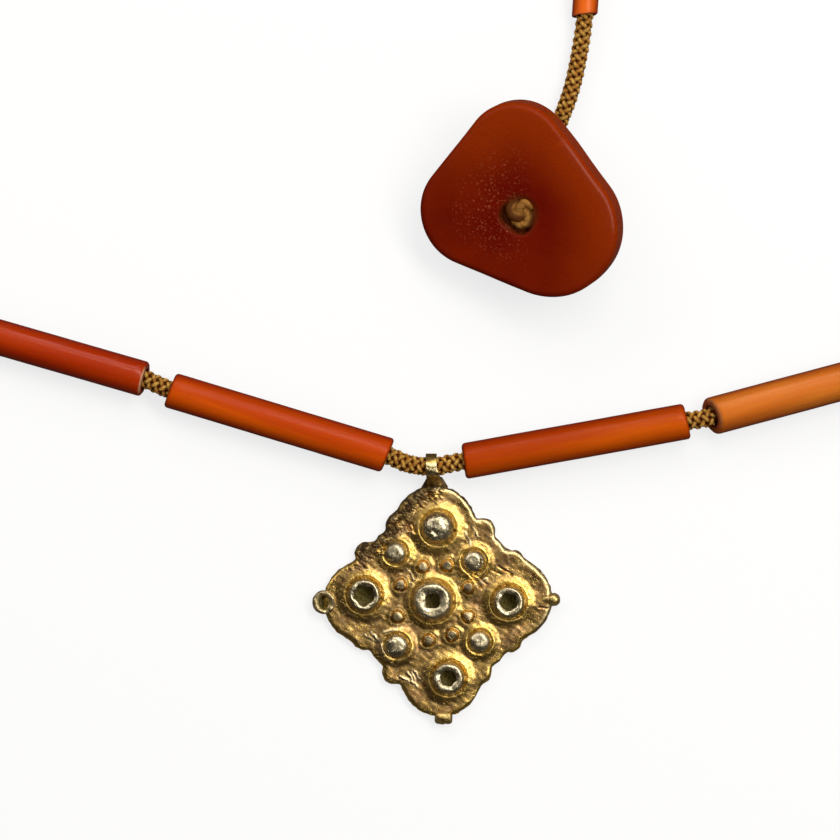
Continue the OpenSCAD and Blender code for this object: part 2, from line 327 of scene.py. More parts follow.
class Shade:
    """A node tree, with short calls that add nodes and join them."""

    def __init__(self, tree: bpy.types.NodeTree) -> None:
        """Keeps the tree."""
        self.tree = tree

    def node(self, kind: str, inputs: dict | None = None, **settings: object) -> bpy.types.Node:
        """Adds a node.

        Args:
            kind: The node's type.
            inputs: Values or sockets for its inputs, by name or number.
            settings: Values for its own properties.

        Returns:
            The node.
        """
        made = self.tree.nodes.new(kind)
        for key, value in settings.items():
            setattr(made, key, value)
        for key, value in (inputs or {}).items():
            if isinstance(value, bpy.types.NodeSocket):
                self.tree.links.new(value, made.inputs[key])
            else:
                made.inputs[key].default_value = value
        return made

    def mix(self, factor: object, first: object, second: object) -> bpy.types.NodeSocket:
        """Mixes two colours."""
        return self.node("ShaderNodeMix", {0: factor, 6: first, 7: second}, data_type="RGBA").outputs[2]

    def step(self, operation: str, first: object, second: object = 0.0) -> bpy.types.NodeSocket:
        """Works out one arithmetic step."""
        return self.node("ShaderNodeMath", {0: first, 1: second}, operation=operation).outputs[0]

    def times(self, first: object, second: object) -> bpy.types.NodeSocket:
        """Multiplies two values."""
        return self.step("MULTIPLY", first, second)

    def plus(self, first: object, second: object) -> bpy.types.NodeSocket:
        """Adds two values."""
        return self.step("ADD", first, second)

    def minus(self, first: object, second: object) -> bpy.types.NodeSocket:
        """Takes the second value from the first."""
        return self.step("SUBTRACT", first, second)

    def larger(self, first: object, second: object) -> bpy.types.NodeSocket:
        """Gives the larger of two values."""
        return self.step("MAXIMUM", first, second)

    def spread(
        self, value: object, low: object, high: object, to_low: float = 0.0, to_high: float = 1.0,
        smooth: bool = False,
    ) -> bpy.types.NodeSocket:
        """Maps a value's range on to another, held within it.

        Args:
            value: The value.
            low: Where its range starts.
            high: Where its range ends.
            to_low: What it becomes at the start.
            to_high: What it becomes at the end.
            smooth: Whether it eases in and out.

        Returns:
            The mapped value.
        """
        inputs = {"Value": value, "From Min": low, "From Max": high, "To Min": to_low, "To Max": to_high}
        easing = "SMOOTHSTEP" if smooth else "LINEAR"
        return self.node("ShaderNodeMapRange", inputs, interpolation_type=easing).outputs[0]

    def fade(self, mask: object, none: float, full: float) -> bpy.types.NodeSocket:
        """Gives one value where a mask is 0 and another where it is 1."""
        return self.spread(mask, 0.0, 1.0, none, full)

    def attribute(self, name: str) -> bpy.types.NodeOutputs:
        """Reads an attribute of the piece."""
        return self.node("ShaderNodeAttribute", attribute_name=name).outputs

    def channels(self, colour: bpy.types.NodeSocket) -> bpy.types.NodeOutputs:
        """Takes a colour apart."""
        return self.node("ShaderNodeSeparateColor", {0: colour}).outputs

    def facing(self) -> bpy.types.NodeSocket:
        """Is 0 where the surface looks at the viewer and 1 at its outline."""
        return self.node("ShaderNodeLayerWeight", {"Blend": 0.5}).outputs["Facing"]

    def millimetres(self) -> bpy.types.NodeSocket:
        """Gives the object's own coordinates in millimetres."""
        place = self.node("ShaderNodeTexCoord").outputs["Object"]
        return self.node("ShaderNodeVectorMath", {0: place, "Scale": 1.0 / MM}, operation="SCALE").outputs[0]

    def mottle(self, place: object, scale: float, low: float, high: float) -> bpy.types.NodeSocket:
        """Places the group of soft patches."""
        return self.mask(Effects.mottle(), {"Vector": place, "Scale": scale, "Low": low, "High": high})

    def hairlines(self, place: object, scale: float, width: float) -> bpy.types.NodeSocket:
        """Places the group of fine lines."""
        return self.mask(Effects.hairlines(), {"Vector": place, "Scale": scale, "Width": width})

    def pits(self, place: object, scale: float, size: float, share: float) -> bpy.types.NodeSocket:
        """Places the group of small pits."""
        return self.mask(Effects.pits(), {"Vector": place, "Scale": scale, "Size": size, "Share": share})

    def mask(self, group: bpy.types.NodeTree, inputs: dict) -> bpy.types.NodeSocket:
        """Places a shared group and gives its mask."""
        return self.node("ShaderNodeGroup", inputs, node_tree=group).outputs[0]


class Effects:
    """Groups that more than one finish uses. Each turns places into a mask and is built once."""

    @staticmethod
    def shared(name: str, levels: dict[str, float], fill: Callable) -> bpy.types.NodeTree:
        """Gives a group, built the first time that it is asked for.

        Args:
            name: The group's name.
            levels: The default of each input beside the places.
            fill: Gets the group's tree and its inputs, and gives the mask.

        Returns:
            The group.
        """
        found = bpy.data.node_groups.get(name)
        if found:
            return found
        tree = bpy.data.node_groups.new(name, "ShaderNodeTree")
        tree.interface.new_socket("Vector", in_out="INPUT", socket_type="NodeSocketVector")
        for key, value in levels.items():
            socket = tree.interface.new_socket(key, in_out="INPUT", socket_type="NodeSocketFloat")
            socket.default_value = value
        tree.interface.new_socket("Mask", in_out="OUTPUT", socket_type="NodeSocketFloat")
        shade = Shade(tree)
        shade.node("NodeGroupOutput", {0: fill(shade, shade.node("NodeGroupInput").outputs)})
        return tree

    @staticmethod
    def noise(shade: Shade, entry: bpy.types.NodeOutputs, detail: float) -> bpy.types.NodeSocket:
        """Adds noise at the group's places."""
        inputs = {"Vector": entry["Vector"], "Scale": entry["Scale"], "Detail": detail}
        return shade.node("ShaderNodeTexNoise", inputs).outputs["Fac"]

    @staticmethod
    def mottle() -> bpy.types.NodeTree:
        """Gives soft patches, from noise between two levels.

        Returns:
            The group.
        """
        def fill(shade: Shade, entry: bpy.types.NodeOutputs) -> bpy.types.NodeSocket:
            """Spreads the noise between the levels."""
            return shade.spread(Effects.noise(shade, entry, 4.0), entry["Low"], entry["High"], smooth=True)
        return Effects.shared("mottle", {"Scale": 1.0, "Low": 0.4, "High": 0.6}, fill)

    @staticmethod
    def hairlines() -> bpy.types.NodeTree:
        """Gives fine wandering lines, such as scratches, where noise is at its middle.

        Returns:
            The group.
        """
        def fill(shade: Shade, entry: bpy.types.NodeOutputs) -> bpy.types.NodeSocket:
            """Is 1 on a line and falls to 0 within its width."""
            away = shade.step("ABSOLUTE", shade.minus(Effects.noise(shade, entry, 1.5), 0.5))
            return shade.spread(away, 0.0, entry["Width"], 1.0, 0.0)
        return Effects.shared("hairlines", {"Scale": 1.0, "Width": 0.02}, fill)

    @staticmethod
    def pits() -> bpy.types.NodeTree:
        """Gives scattered small pits, in a share of the cells of a Voronoi pattern.

        Returns:
            The group.
        """
        def fill(shade: Shade, entry: bpy.types.NodeOutputs) -> bpy.types.NodeSocket:
            """Is 1 in the middle of a pit.

            Args:
                shade: The group's tree.
                entry: The group's inputs.

            Returns:
                The mask.
            """
            cell = shade.node("ShaderNodeTexVoronoi", {"Vector": entry["Vector"], "Scale": entry["Scale"]})
            near = shade.spread(cell.outputs["Distance"], 0.0, entry["Size"], 1.0, 0.0, smooth=True)
            chosen = shade.step("LESS_THAN", shade.channels(cell.outputs["Color"])[0], entry["Share"])
            return shade.times(near, chosen)
        return Effects.shared("pits", {"Scale": 1.0, "Size": 0.3, "Share": 0.5}, fill)


@dataclass(frozen=True)
class Finish:
    """What every finish has: a name, and how its material is started and ended."""

    name: str

    def start(self) -> tuple[bpy.types.Material, Shade]:
        """Starts a material and gives it and its tree.

        Returns:
            The material and its tree.
        """
        material = bpy.data.materials.new(self.name)
        material.use_nodes = True
        material.node_tree.nodes.clear()
        return material, Shade(material.node_tree)

    @staticmethod
    def surface(shade: Shade, relief: object, depth: float, inputs: dict, translucent: tuple = ()) -> None:
        """Ends a material with its surface shader.

        Args:
            shade: The material's tree.
            relief: The height for the bump.
            depth: The bump's depth in millimetres.
            inputs: Values or sockets for the surface shader.
            translucent: How much light goes in, how deep in millimetres, and how far each colour goes.
        """
        normal = shade.node("ShaderNodeBump", {"Height": relief, "Distance": depth * MM, "Strength": 1.0})
        inputs = {**inputs, "Normal": normal.outputs[0]}
        if translucent:
            weight, reach, colours = translucent
            inputs["Subsurface Weight"] = weight
            inputs["Subsurface Scale"] = reach * MM
            inputs["Subsurface Radius"] = colours
        surface = shade.node("ShaderNodeBsdfPrincipled", inputs)
        shade.node("ShaderNodeOutputMaterial", {"Surface": surface.outputs[0]})


@dataclass(frozen=True)
class GoldFinish(Finish):
    """Worn gilding over silver, with brown patches, grimy grooves and a tarnished rim, and some painted shade
    and highlight.

    The attribute wear says where: red for bare silver, with a painted highlight on the rim's upper right;
    green for grime, which is painted shade on the bail and its tab; blue for tarnish, also painted shade on
    the tab; alpha for the old filling in a hollow. The attribute age is 1 where the gilding has turned brown,
    and rises towards the lower left as painted shade.
    """

    name: str = "worn_gold"
    gold: Colour = srgb(240, 200, 98)
    brown: Colour = srgb(158, 116, 72)
    pale: Colour = srgb(244, 220, 158)
    # Silver also paints a highlight on the rim's upper right.
    silver: Colour = srgb(202, 192, 162)
    # Grime also paints shade on the bail's legs and its tab; tarnish paints it on the tab too.
    grime: Colour = srgb(88, 52, 16)
    tarnish: Colour = srgb(78, 62, 38)
    filling: Colour = srgb(92, 80, 20)

    def material(self) -> bpy.types.Material:
        """Builds the material.

        Returns:
            The material.
        """
        material, shade = self.start()
        place = shade.millimetres()
        wear = shade.attribute("wear")
        bare, grimy, tarnished = shade.channels(wear["Color"])[:3]
        filled = wear["Alpha"]
        patches = shade.mottle(place, 0.33, 0.42, 0.64)
        cloud = shade.mottle(place, 1.5, 0.35, 0.7)
        speckle = shade.mottle(place, 4.5, 0.45, 0.66)
        lines = shade.hairlines(place, 0.8, 0.012)
        pits = shade.pits(place, 0.9, 0.26, 0.4)
        # Brown gilding: aged patches, plus painted shade towards the lower left.
        browned_and_shaded = shade.times(shade.attribute("age")["Fac"], shade.fade(patches, 0.62, 1))
        dulled = shade.times(tarnished, shade.fade(cloud, 1.0, 0.45))
        colour = shade.mix(browned_and_shaded, self.gold, self.brown)
        colour = shade.mix(shade.fade(cloud, 0, 0.35), colour, self.pale)
        # Silver where the gilding is worn off; on the rim's upper right it is a painted highlight.
        colour = shade.mix(shade.times(bare, shade.fade(speckle, 1.0, 0.75)), colour, self.silver)
        # Grime in the grooves and pits; on the bail's legs and its tab this is painted shade.
        colour = shade.mix(shade.fade(grimy, 0, 0.92), colour, self.grime)
        # On the tab the tarnish is painted shade too.
        colour = shade.mix(dulled, colour, self.tarnish)
        colour = shade.mix(shade.times(pits, 0.85), colour, self.grime)
        colour = shade.mix(filled, colour, self.filling)
        dull = shade.larger(shade.larger(filled, shade.times(dulled, 0.5)), shade.times(pits, 0.6))
        rough = shade.plus(shade.fade(speckle, 0.25, 0.34), shade.times(dull, 0.3))
        rough = shade.plus(rough, shade.times(patches, 0.08))
        height = shade.plus(shade.times(cloud, 0.45), shade.times(speckle, 0.12))
        height = shade.minus(shade.minus(height, shade.times(lines, 0.6)), shade.times(pits, 1.6))
        self.surface(shade, height, 0.042, {
            "Base Color": colour, "Metallic": shade.minus(1.0, dull), "Roughness": rough,
        })
        return material


class Tone(Enum):
    """How a bead looks: its deep and its bright display colour, how rough it is and how much it mirrors."""

    RED = ((154, 30, 0), (184, 58, 0), 0.14, 0.2)
    ORANGE = ((172, 44, 0), (216, 90, 0), 0.22, 0.11)
    BRICK = ((160, 42, 0), (208, 90, 0), 0.24, 0.1)
    AMBER = ((190, 84, 0), (240, 144, 46), 0.24, 0.24)
    CORAL = ((188, 56, 0), (234, 106, 18), 0.22, 0.24)


@dataclass(frozen=True)
class ResinFinish(Finish):
    """Polished resin with fine streaks along the bead, and shade painted in towards its outline.

    The attribute grain holds the bead's own coordinates, with the length squeezed, and marks holds
    red for a pale broken edge and green for a grimy end.
    """

    name: str = "resin"
    tone: Tone = Tone.ORANGE
    chip: Colour = srgb(232, 190, 140)
    dirt: Colour = srgb(96, 52, 22)
    painted_outline_shade: Colour = srgb(108, 8, 0)

    def material(self) -> bpy.types.Material:
        """Builds the material.

        Returns:
            The material.
        """
        material, shade = self.start()
        deep, bright = (srgb(*display) for display in self.tone.value[:2])
        polish, mirror = self.tone.value[2:]
        grain = shade.attribute("grain")["Vector"]
        broken, grimy = shade.channels(shade.attribute("marks")["Color"])[:2]
        body = shade.mottle(grain, 0.16, 0.3, 0.7)
        streaks = shade.mottle(grain, 1.3, 0.35, 0.68)
        scuffs = shade.hairlines(grain, 0.9, 0.01)
        colour = shade.mix(shade.fade(body, 0.3, 1.0), deep, bright)
        colour = shade.mix(shade.fade(streaks, 0.0, 0.16), colour, deep)
        colour = shade.mix(shade.times(grimy, 0.8), colour, self.dirt)
        colour = shade.mix(broken, colour, self.chip)
        # Painted shade: the colour darkens towards the outline that is seen.
        colour = shade.mix(shade.spread(shade.facing(), 0.02, 0.8, 0.0, 0.95), colour, self.painted_outline_shade)
        rough = shade.plus(shade.fade(streaks, polish, polish + 0.08), shade.times(broken, 0.3))
        height = shade.minus(shade.times(streaks, 0.3), shade.times(scuffs, 0.5))
        height = shade.minus(height, shade.pits(grain, 0.8, 0.16, 0.25))
        self.surface(shade, height, 0.03, {
            "Base Color": colour, "Roughness": rough, "Specular IOR Level": mirror,
        }, (0.12, 1.2, (1.0, 0.3, 0.1)))
        return material


@dataclass(frozen=True)
class AmberFinish(Finish):
    """Deep red amber, painted lighter towards its rim and its lit side, with flecks and a few scratches.

    The attribute glow holds red for the painted light towards the rim, green for the scuffed ring around the
    hole, blue for flecks and alpha for the polish left on the rim.
    """

    name: str = "amber"
    deep: Colour = srgb(88, 1, 0)
    middle: Colour = srgb(112, 17, 0)
    # Painted light: the lighter colour towards the rim.
    edge: Colour = srgb(140, 43, 0)
    fleck: Colour = srgb(196, 112, 70)
    scuff: Colour = srgb(96, 44, 16)

    def material(self) -> bpy.types.Material:
        """Builds the material.

        Returns:
            The material.
        """
        material, shade = self.start()
        place = shade.millimetres()
        glow = shade.attribute("glow")
        painted_rim_light, scuffed, flecked = shade.channels(glow["Color"])[:3]
        cloud = shade.mottle(place, 0.11, 0.32, 0.68)
        haze = shade.mottle(place, 0.9, 0.35, 0.75)
        dots = shade.pits(place, 1.3, 0.34, 0.5)
        smears = shade.mottle(place, 2.1, 0.56, 0.74)
        flecks = shade.larger(shade.times(dots, 0.45), shade.times(smears, 0.34))
        shown = shade.times(flecks, flecked)
        colour = shade.mix(shade.fade(cloud, 0, 0.7), self.deep, self.middle)
        # Painted light: the rim and its lit side take the lighter edge colour.
        colour = shade.mix(painted_rim_light, colour, self.edge)
        # A little painted shade at the seen outline.
        colour = shade.mix(shade.spread(shade.facing(), 0.6, 1.0, 0.0, 0.1), colour, self.deep)
        colour = shade.mix(shade.fade(haze, 0, 0.14), colour, self.middle)
        colour = shade.mix(shade.times(scuffed, 0.7), colour, self.scuff)
        colour = shade.mix(shown, colour, self.fleck)
        marks = shade.plus(shade.times(shade.hairlines(place, 0.35, 0.006), 0.5), shade.times(flecks, 1.0))
        polish = shade.larger(glow["Alpha"], shade.times(shown, 0.6))
        self.surface(shade, shade.minus(shade.times(haze, 0.2), marks), 0.04, {
            "Base Color": colour, "Roughness": shade.fade(haze, 0.26, 0.4), "Specular IOR Level": 0.05,
            "Coat Weight": shade.times(polish, 0.4), "Coat Roughness": 0.3,
        }, (0.15, 2.0, (1.0, 0.25, 0.08)))
        return material


@dataclass(frozen=True)
class YarnFinish(Finish):
    """Golden-brown yarn, with shade painted in between the stitches.

    The attribute ply holds coordinates that turn with the yarn's fibres, and crest is 1 on top of a stitch
    and 0 in a gap, where the painted shade is deepest.
    """

    name: str = "braid"
    light: Colour = srgb(255, 206, 104)
    brown: Colour = srgb(190, 114, 26)
    # The gap colour is painted shade, and also darkens the fibre mottle.
    gap: Colour = srgb(88, 32, 0)

    def material(self) -> bpy.types.Material:
        """Builds the material.

        Returns:
            The material.
        """
        material, shade = self.start()
        ply = shade.attribute("ply")["Vector"]
        fibres = shade.mottle(ply, 3.2, 0.36, 0.64)
        tufts = shade.mottle(ply, 0.5, 0.35, 0.65)
        colour = shade.mix(shade.fade(tufts, 0.15, 0.85), self.brown, self.light)
        colour = shade.mix(shade.fade(fibres, 0.4, 0.0), colour, self.gap)
        # Painted shade: low crests take the gap colour.
        painted_gap_shade = shade.spread(shade.attribute("crest")["Fac"], 0.35, 0.85, 1.0, 0.0)
        colour = shade.mix(painted_gap_shade, colour, self.gap)
        self.surface(shade, fibres, 0.09, {
            "Base Color": colour, "Roughness": 0.42, "Specular IOR Level": 0.12,
        })
        return material


@dataclass(frozen=True)
class StrandRow:
    """One bead of a strand and the gap before it, in millimetres and degrees."""

    gap: float
    gap_heading: float
    heading: float
    length: float
    width: float


@dataclass(frozen=True)
class BeadPlace:
    """A bead's axis in the layout, and the bead's diameter."""

    start: np.ndarray
    end: np.ndarray
    width: float

    @property
    def direction(self) -> np.ndarray:
        """The way from the start to the end."""
        run = self.end - self.start
        return run / np.linalg.norm(run)

    @property
    def length(self) -> float:
        """The bead's length."""
        return float(np.linalg.norm(self.end - self.start))

    def stops(self, mouth: float = 2.0) -> list[np.ndarray]:
        """Gives the cord's stops at the bead's ends and just inside them."""
        inside = mouth * self.direction
        return [self.start, self.start + inside, self.end - inside, self.end]


LEFT_FROM = (-8, 1.95)
LEFT_ROWS = (
    StrandRow(0, 16.8, 16.8, 44.1, 6.9),
    StrandRow(4.3, 24, 16.1, 43.3, 6.8),
    StrandRow(7, 34, 53, 43, 6.9),
    StrandRow(7, 78, 102, 43, 6.8),
    StrandRow(7, 125, 148, 43, 6.7),
    StrandRow(7, 163, 178, 43, 6.9),
    StrandRow(6, 183, 188, 43, 6.8),
)
RIGHT_FROM = (5.8, 0.95)
RIGHT_ROWS = (
    StrandRow(0, 10.2, 10.2, 43.7, 6.9),
    StrandRow(2.7, 8.2, 15, 44.9, 7.3),
    StrandRow(7, 30, 46, 43, 6.8),
    StrandRow(7, 70, 95, 43, 6.9),
    StrandRow(7, 120, 144, 43, 6.8),
    StrandRow(6, 160, 175, 43, 6.8),
)
TAIL_LOW = (29.05, 85.2)
TAIL_HEADING = 86.0
TAIL_BEAD_LENGTH = 43.0
TAIL_BEAD_WIDTH = 4.9
KNOT_AT = np.array([31.0, 141.5, 4.5])
KNOT_LENGTH = 10.0
FRONT_DIP = ((-5, 0.65, 3.4), (-1, 0, 3.4), (1.6, 0.1, 3.4), (3.8, 0.66, 3.4))
TAIL_TOP = ((31, 136.7, 3.6), (31.4, 134.6, 3.2), (31.9, 131.6, 2.6))
TAIL_RUN = (
    (28.5, 81, 2.2), (27.9, 77.6, 1.9), (27.2, 74.2, 1.75), (26.2, 70.6, 1.75),
    (24.7, 66.6, 1.75), (22.8, 62.1, 1.75), (20.8, 58.1, 1.75), (19.5, 54.8, 1.8),
    (18.9, 52.7, 2.2), (18.6, 51, 3.1), (18.4, 49.7, 4.5), (18.1, 48.9, 6.3),
    (17.5, 48.4, 8.7), (17.1, 48.1, 10.5), (16.7, 47.9, 12.2),
)


def lay_strand(rows: tuple[StrandRow, ...], side: int, start: tuple[float, float]) -> list[BeadPlace]:
    """Walks along a strand from the front and gives each bead's place.

    Args:
        rows: The strand's beads.
        side: -1 for the strand on the left, 1 for the one on the right.
        start: Where the first bead starts.

    Returns:
        The beads' places.
    """
    def step(length: float, heading: float) -> np.ndarray:
        """Gives a step of a length in a heading."""
        angle = math.radians(heading)
        return length * np.array([side * math.cos(angle), math.sin(angle), 0.0])

    places = []
    here = np.array([start[0], start[1], 0.0])
    for row in rows:
        near = here + step(row.gap, row.gap_heading)
        far = near + step(row.length, row.heading)
        lift = np.array([0.0, 0.0, row.width / 2])
        places.append(BeadPlace(near + lift, far + lift, row.width))
        here = far
    return places


@dataclass(frozen=True)
class Route:
    """A smooth line through points, with a pair of directions across it at every sample."""

    points: np.ndarray
    along: np.ndarray
    across: np.ndarray
    up: np.ndarray

    @classmethod
    def through(cls, stops: np.ndarray, fine: float, coarse: float, hidden_from: float = 10.0) -> "Route":
        """Runs a smooth line through stops.

        Args:
            stops: Points that the line passes through.
            fine: Distance between samples where the cord shows.
            coarse: Distance between samples inside a bead.
            hidden_from: Stretches longer than this lie inside a bead.

        Returns:
            The route.
        """
        stops = np.asarray(stops, float)
        chords = np.diff(stops, axis=0)
        spans = np.linalg.norm(chords, axis=1)
        slopes = chords / spans[:, None]
        tangents = np.vstack([slopes[:1], slopes[:1].repeat(len(slopes) - 1, 0), slopes[-1:]])
        for i in range(1, len(stops) - 1):
            before, after = spans[i - 1], spans[i]
            tangents[i] = (slopes[i - 1] * after + slopes[i] * before) / (before + after)
        samples = []
        for i, span in enumerate(spans):
            count = max(1, math.ceil(span / (coarse if span > hidden_from else fine)))
            t = (np.arange(count) / count)[:, None]
            samples.append(
                (2 * t**3 - 3 * t**2 + 1) * stops[i] + (t**3 - 2 * t**2 + t) * span * tangents[i]
                + (3 * t**2 - 2 * t**3) * stops[i + 1] + (t**3 - t**2) * span * tangents[i + 1]
            )
        points = np.vstack(samples + [stops[-1:]])
        return cls.framed(points)

    @classmethod
    def framed(cls, points: np.ndarray) -> "Route":
        """Carries a pair of cross directions along the samples without twist.

        Args:
            points: The line's points.

        Returns:
            The route.
        """
        heading = np.gradient(points, axis=0)
        heading /= np.linalg.norm(heading, axis=1)[:, None]
        first = np.cross(heading[0], (0.0, 0.0, 1.0))
        if np.linalg.norm(first) < 0.3:
            first = np.cross(heading[0], (0.0, 1.0, 0.0))
        across = np.empty_like(points)
        across[0] = first / np.linalg.norm(first)
        for i in range(1, len(points)):
            carried = across[i - 1] - heading[i] * np.dot(across[i - 1], heading[i])
            across[i] = carried / np.linalg.norm(carried)
        steps = np.linalg.norm(np.diff(points, axis=0), axis=1)
        along = np.concatenate([[0.0], np.cumsum(steps)])
        return cls(points, along, across, np.cross(heading, across))


class Skein:
    """Collects tubes of yarn until they become one piece."""

    def __init__(self) -> None:
        """Starts empty."""
        self.points: list[np.ndarray] = []
        self.plies: list[np.ndarray] = []
        self.painted_light_levels: list[np.ndarray] = []
        self.faces: list[tuple[int, ...]] = []

    def tube(
        self, path: tuple[np.ndarray, np.ndarray, np.ndarray], half: tuple[float, float], sides: int,
        ply_turn: float, reach: np.ndarray | None = None, levels: tuple[float, float] = (0.0, 1.0),
    ) -> None:
        """Adds a tube of oval section, closed at both ends.

        Args:
            path: The tube's centre line, and the oval's long and short direction at each sample.
            half: Half the oval's width and half its depth.
            sides: Number of sides.
            ply_turn: Length in which the fibres turn once around the yarn.
            reach: The centre line's distance from the braid's own, or None for a core painted all in shade.
            levels: The radii in the braid that count as a gap and as a crest.
        """
        centre, sideways, outward = path
        first = sum(len(rows) for rows in self.points)
        around = np.arange(sides) * TAU / sides
        steps = np.linalg.norm(np.diff(centre, axis=0), axis=1)
        run = np.concatenate([[0.0], np.cumsum(steps)])[:, None] + first * 0.37
        twist = around + TAU * run / ply_turn
        swell = np.ones_like(twist)
        crest = np.zeros_like(twist)
        # Painted shade: crest is low deep in the braid and on each yarn's inner side.
        if reach is not None:
            swell = 1.0 - 0.14 * (0.5 - 0.5 * np.cos(2 * twist))
            height = reach[:, None] + half[1] * np.sin(around) - levels[0]
            crest = np.clip(height / (levels[1] - levels[0]), 0.0, 1.0) * (0.55 + 0.45 * np.sin(around))
        wide = (swell * half[0] * np.cos(around))[:, :, None] * sideways[:, None, :]
        deep = (swell * half[1] * np.sin(around))[:, :, None] * outward[:, None, :]
        self.points.append((centre[:, None, :] + wide + deep).reshape(-1, 3))
        ply = [np.broadcast_to(run * 0.22, twist.shape), np.cos(twist), np.sin(twist)]
        self.plies.append(np.stack(ply, -1).reshape(-1, 3))
        self.painted_light_levels.append(crest.ravel())
        inward = np.dot(np.cross(sideways[0], outward[0]), centre[1] - centre[0]) < 0.0
        order = -1 if inward else 1
        last = first + (len(centre) - 1) * sides
        for a in range(first, last, sides):
            for k in range(sides):
                n = (k + 1) % sides
                self.faces.append((a + k, a + n, a + sides + n, a + sides + k)[::order])
        self.faces.append(tuple(range(first + sides - 1, first - 1, -1))[::order])
        self.faces.append(tuple(range(last, last + sides))[::order])

    def piece(self, name: str, lift: float = 0.0) -> bpy.types.Object:
        """Makes the tubes one smooth piece, with each point's crest lifted a little if that is asked for.

        Args:
            name: The piece's name.
            lift: How much each crest is lifted.

        Returns:
            The piece, in the layout's millimetres.
        """
        mesh = bpy.data.meshes.new(name)
        mesh.from_pydata(np.vstack(self.points).tolist(), [], self.faces)
        mesh.shade_smooth()
        piece = bpy.data.objects.new(name, mesh)
        bpy.context.collection.objects.link(piece)
        Bench.write(piece, "ply", np.vstack(self.plies))
        # The crest carries the painted shade; lifting it lightens that shade.
        Bench.write(piece, "crest", np.clip(np.concatenate(self.painted_light_levels) + lift, 0.0, 1.0))
        return piece


@dataclass(frozen=True)
class Braid:
    """A round braid of eight yarns, four wound each way, that pass over one and under one.

    The stitches lie in eight columns that lean one way and the other in turn. The roll turns these
    columns slowly along the cord.
    """

    radius: float = 1.87
    yarn_width: float = 0.86
    yarn_depth: float = 0.8
    weave: float = 0.24
    ply_turn: float = 1.9
    lay: float = 6.3
    roll_from: float = 0.0
    roll_rate: float = 0.05
    sides: int = 10

    def piece(self, name: str, route: Route) -> bpy.types.Object:
        """Braids eight yarns along a route in the layout, around a plain core.

        Args:
            name: The piece's name.
            route: The line that the braid follows, in the layout.

        Returns:
            The piece, in the layout's millimetres.
        """
        middle = self.radius - self.yarn_depth / 2 - self.weave
        levels = (self.radius - self.yarn_depth - 2 * self.weave, self.radius)
        turn = TAU * route.along / self.lay
        roll = self.roll_from + self.roll_rate * route.along
        skein = Skein()
        for way in (1, -1):
            for yarn in range(4):
                angle = way * turn + yarn * TAU / 4
                over = np.tanh(1.6 * np.cos(4 * angle)) / math.tanh(1.6)
                reach = middle + way * self.weave * over
                path = self.wound(route, angle + roll, reach)
                half = (self.yarn_width / 2, self.yarn_depth / 2)
                skein.tube(path, half, self.sides, self.ply_turn, reach, levels)
        # The core fills the braid's inside and is painted all in shade.
        core = middle + 0.02
        skein.tube((route.points, route.across, route.up), (core, core), self.sides, self.ply_turn)
        return skein.piece(name)

    @staticmethod
    def wound(
        route: Route, angle: np.ndarray, reach: np.ndarray
    ) -> tuple[np.ndarray, np.ndarray, np.ndarray]:
        """Winds a line around a route.

        Args:
            route: The line that it winds around.
            angle: Its angle around the route, at each sample.
            reach: Its distance from the route, at each sample.

        Returns:
            The line, and the directions sideways and outward from it.
        """
        outward = np.cos(angle)[:, None] * route.across + np.sin(angle)[:, None] * route.up
        centre = route.points + outward * reach[:, None]
        heading = np.gradient(centre, axis=0)
        heading /= np.linalg.norm(heading, axis=1)[:, None]
        sideways = np.cross(heading, outward)
        sideways /= np.linalg.norm(sideways, axis=1)[:, None]
        return centre, sideways, outward


def bend(start: np.ndarray, start_dir: np.ndarray, end: np.ndarray, end_dir: np.ndarray) -> list[np.ndarray]:
    """Gives three points on a smooth bend from one straight run to the next."""
    corner = (start + end + np.linalg.norm(end - start) / 2 * (start_dir - end_dir)) / 2
    return [(1 - t) ** 2 * start + 2 * t * (1 - t) * corner + t**2 * end for t in (0.25, 0.5, 0.75)]


@dataclass
class LoopCord:
    """The braid that goes through all the beads of the loop, from one face of the knot to the other."""

    left: list[BeadPlace]
    right: list[BeadPlace]
    braid: Braid = Braid()
    knot_reach: float = KNOT_LENGTH / 2 + 0.3
    straight: float = 1.5

    @staticmethod
    def strand(places: list[BeadPlace], face: np.ndarray, face_dir: np.ndarray) -> list[np.ndarray]:
        """Gives the stops through a strand of beads and on to a face of the knot.

        Args:
            places: The places of the beads, in order.
            face: Where the strand ends, on the knot.
            face_dir: The cord's direction there.

        Returns:
            The stops.
        """
        stops = []
        for i, place in enumerate(places):
            target = places[i + 1].start if i + 1 < len(places) else face
            target_dir = places[i + 1].direction if i + 1 < len(places) else face_dir
            stops += [*place.stops(), *bend(place.end, place.direction, target, target_dir)]
        return stops

    def stops(self) -> np.ndarray:
        """Gives the whole loop's stops, from the knot's left face round to its right face.

        Returns:
            A row for each stop.
        """
        side = np.array([1.0, 0.0, 0.0])
        left_end = KNOT_AT - side * self.knot_reach
        right_end = KNOT_AT + side * self.knot_reach
        left_face = left_end - side * self.straight
        right_face = right_end + side * self.straight
        left = self.strand(self.left, left_face, side)
        right = self.strand(self.right, right_face, -side)
        dip = [np.array(point, float) for point in FRONT_DIP]
        return np.array([left_end, left_face, *left[::-1], *dip, *right, right_face, right_end])

    def build(self, layout: Layout, material: bpy.types.Material) -> None:
        """Braids the loop and hands it over.

        Args:
            layout: Where the layout lies in the frame.
            material: The finish that it wears.
        """
        route = Route.through(self.stops(), fine=0.175, coarse=2.6)
        LOG.info("loop_braid: %.0f mm from end to end", route.along[-1])
        hand_over(self.braid.piece("loop", route), layout, "loop_braid", material, "braid", "loop_cord")


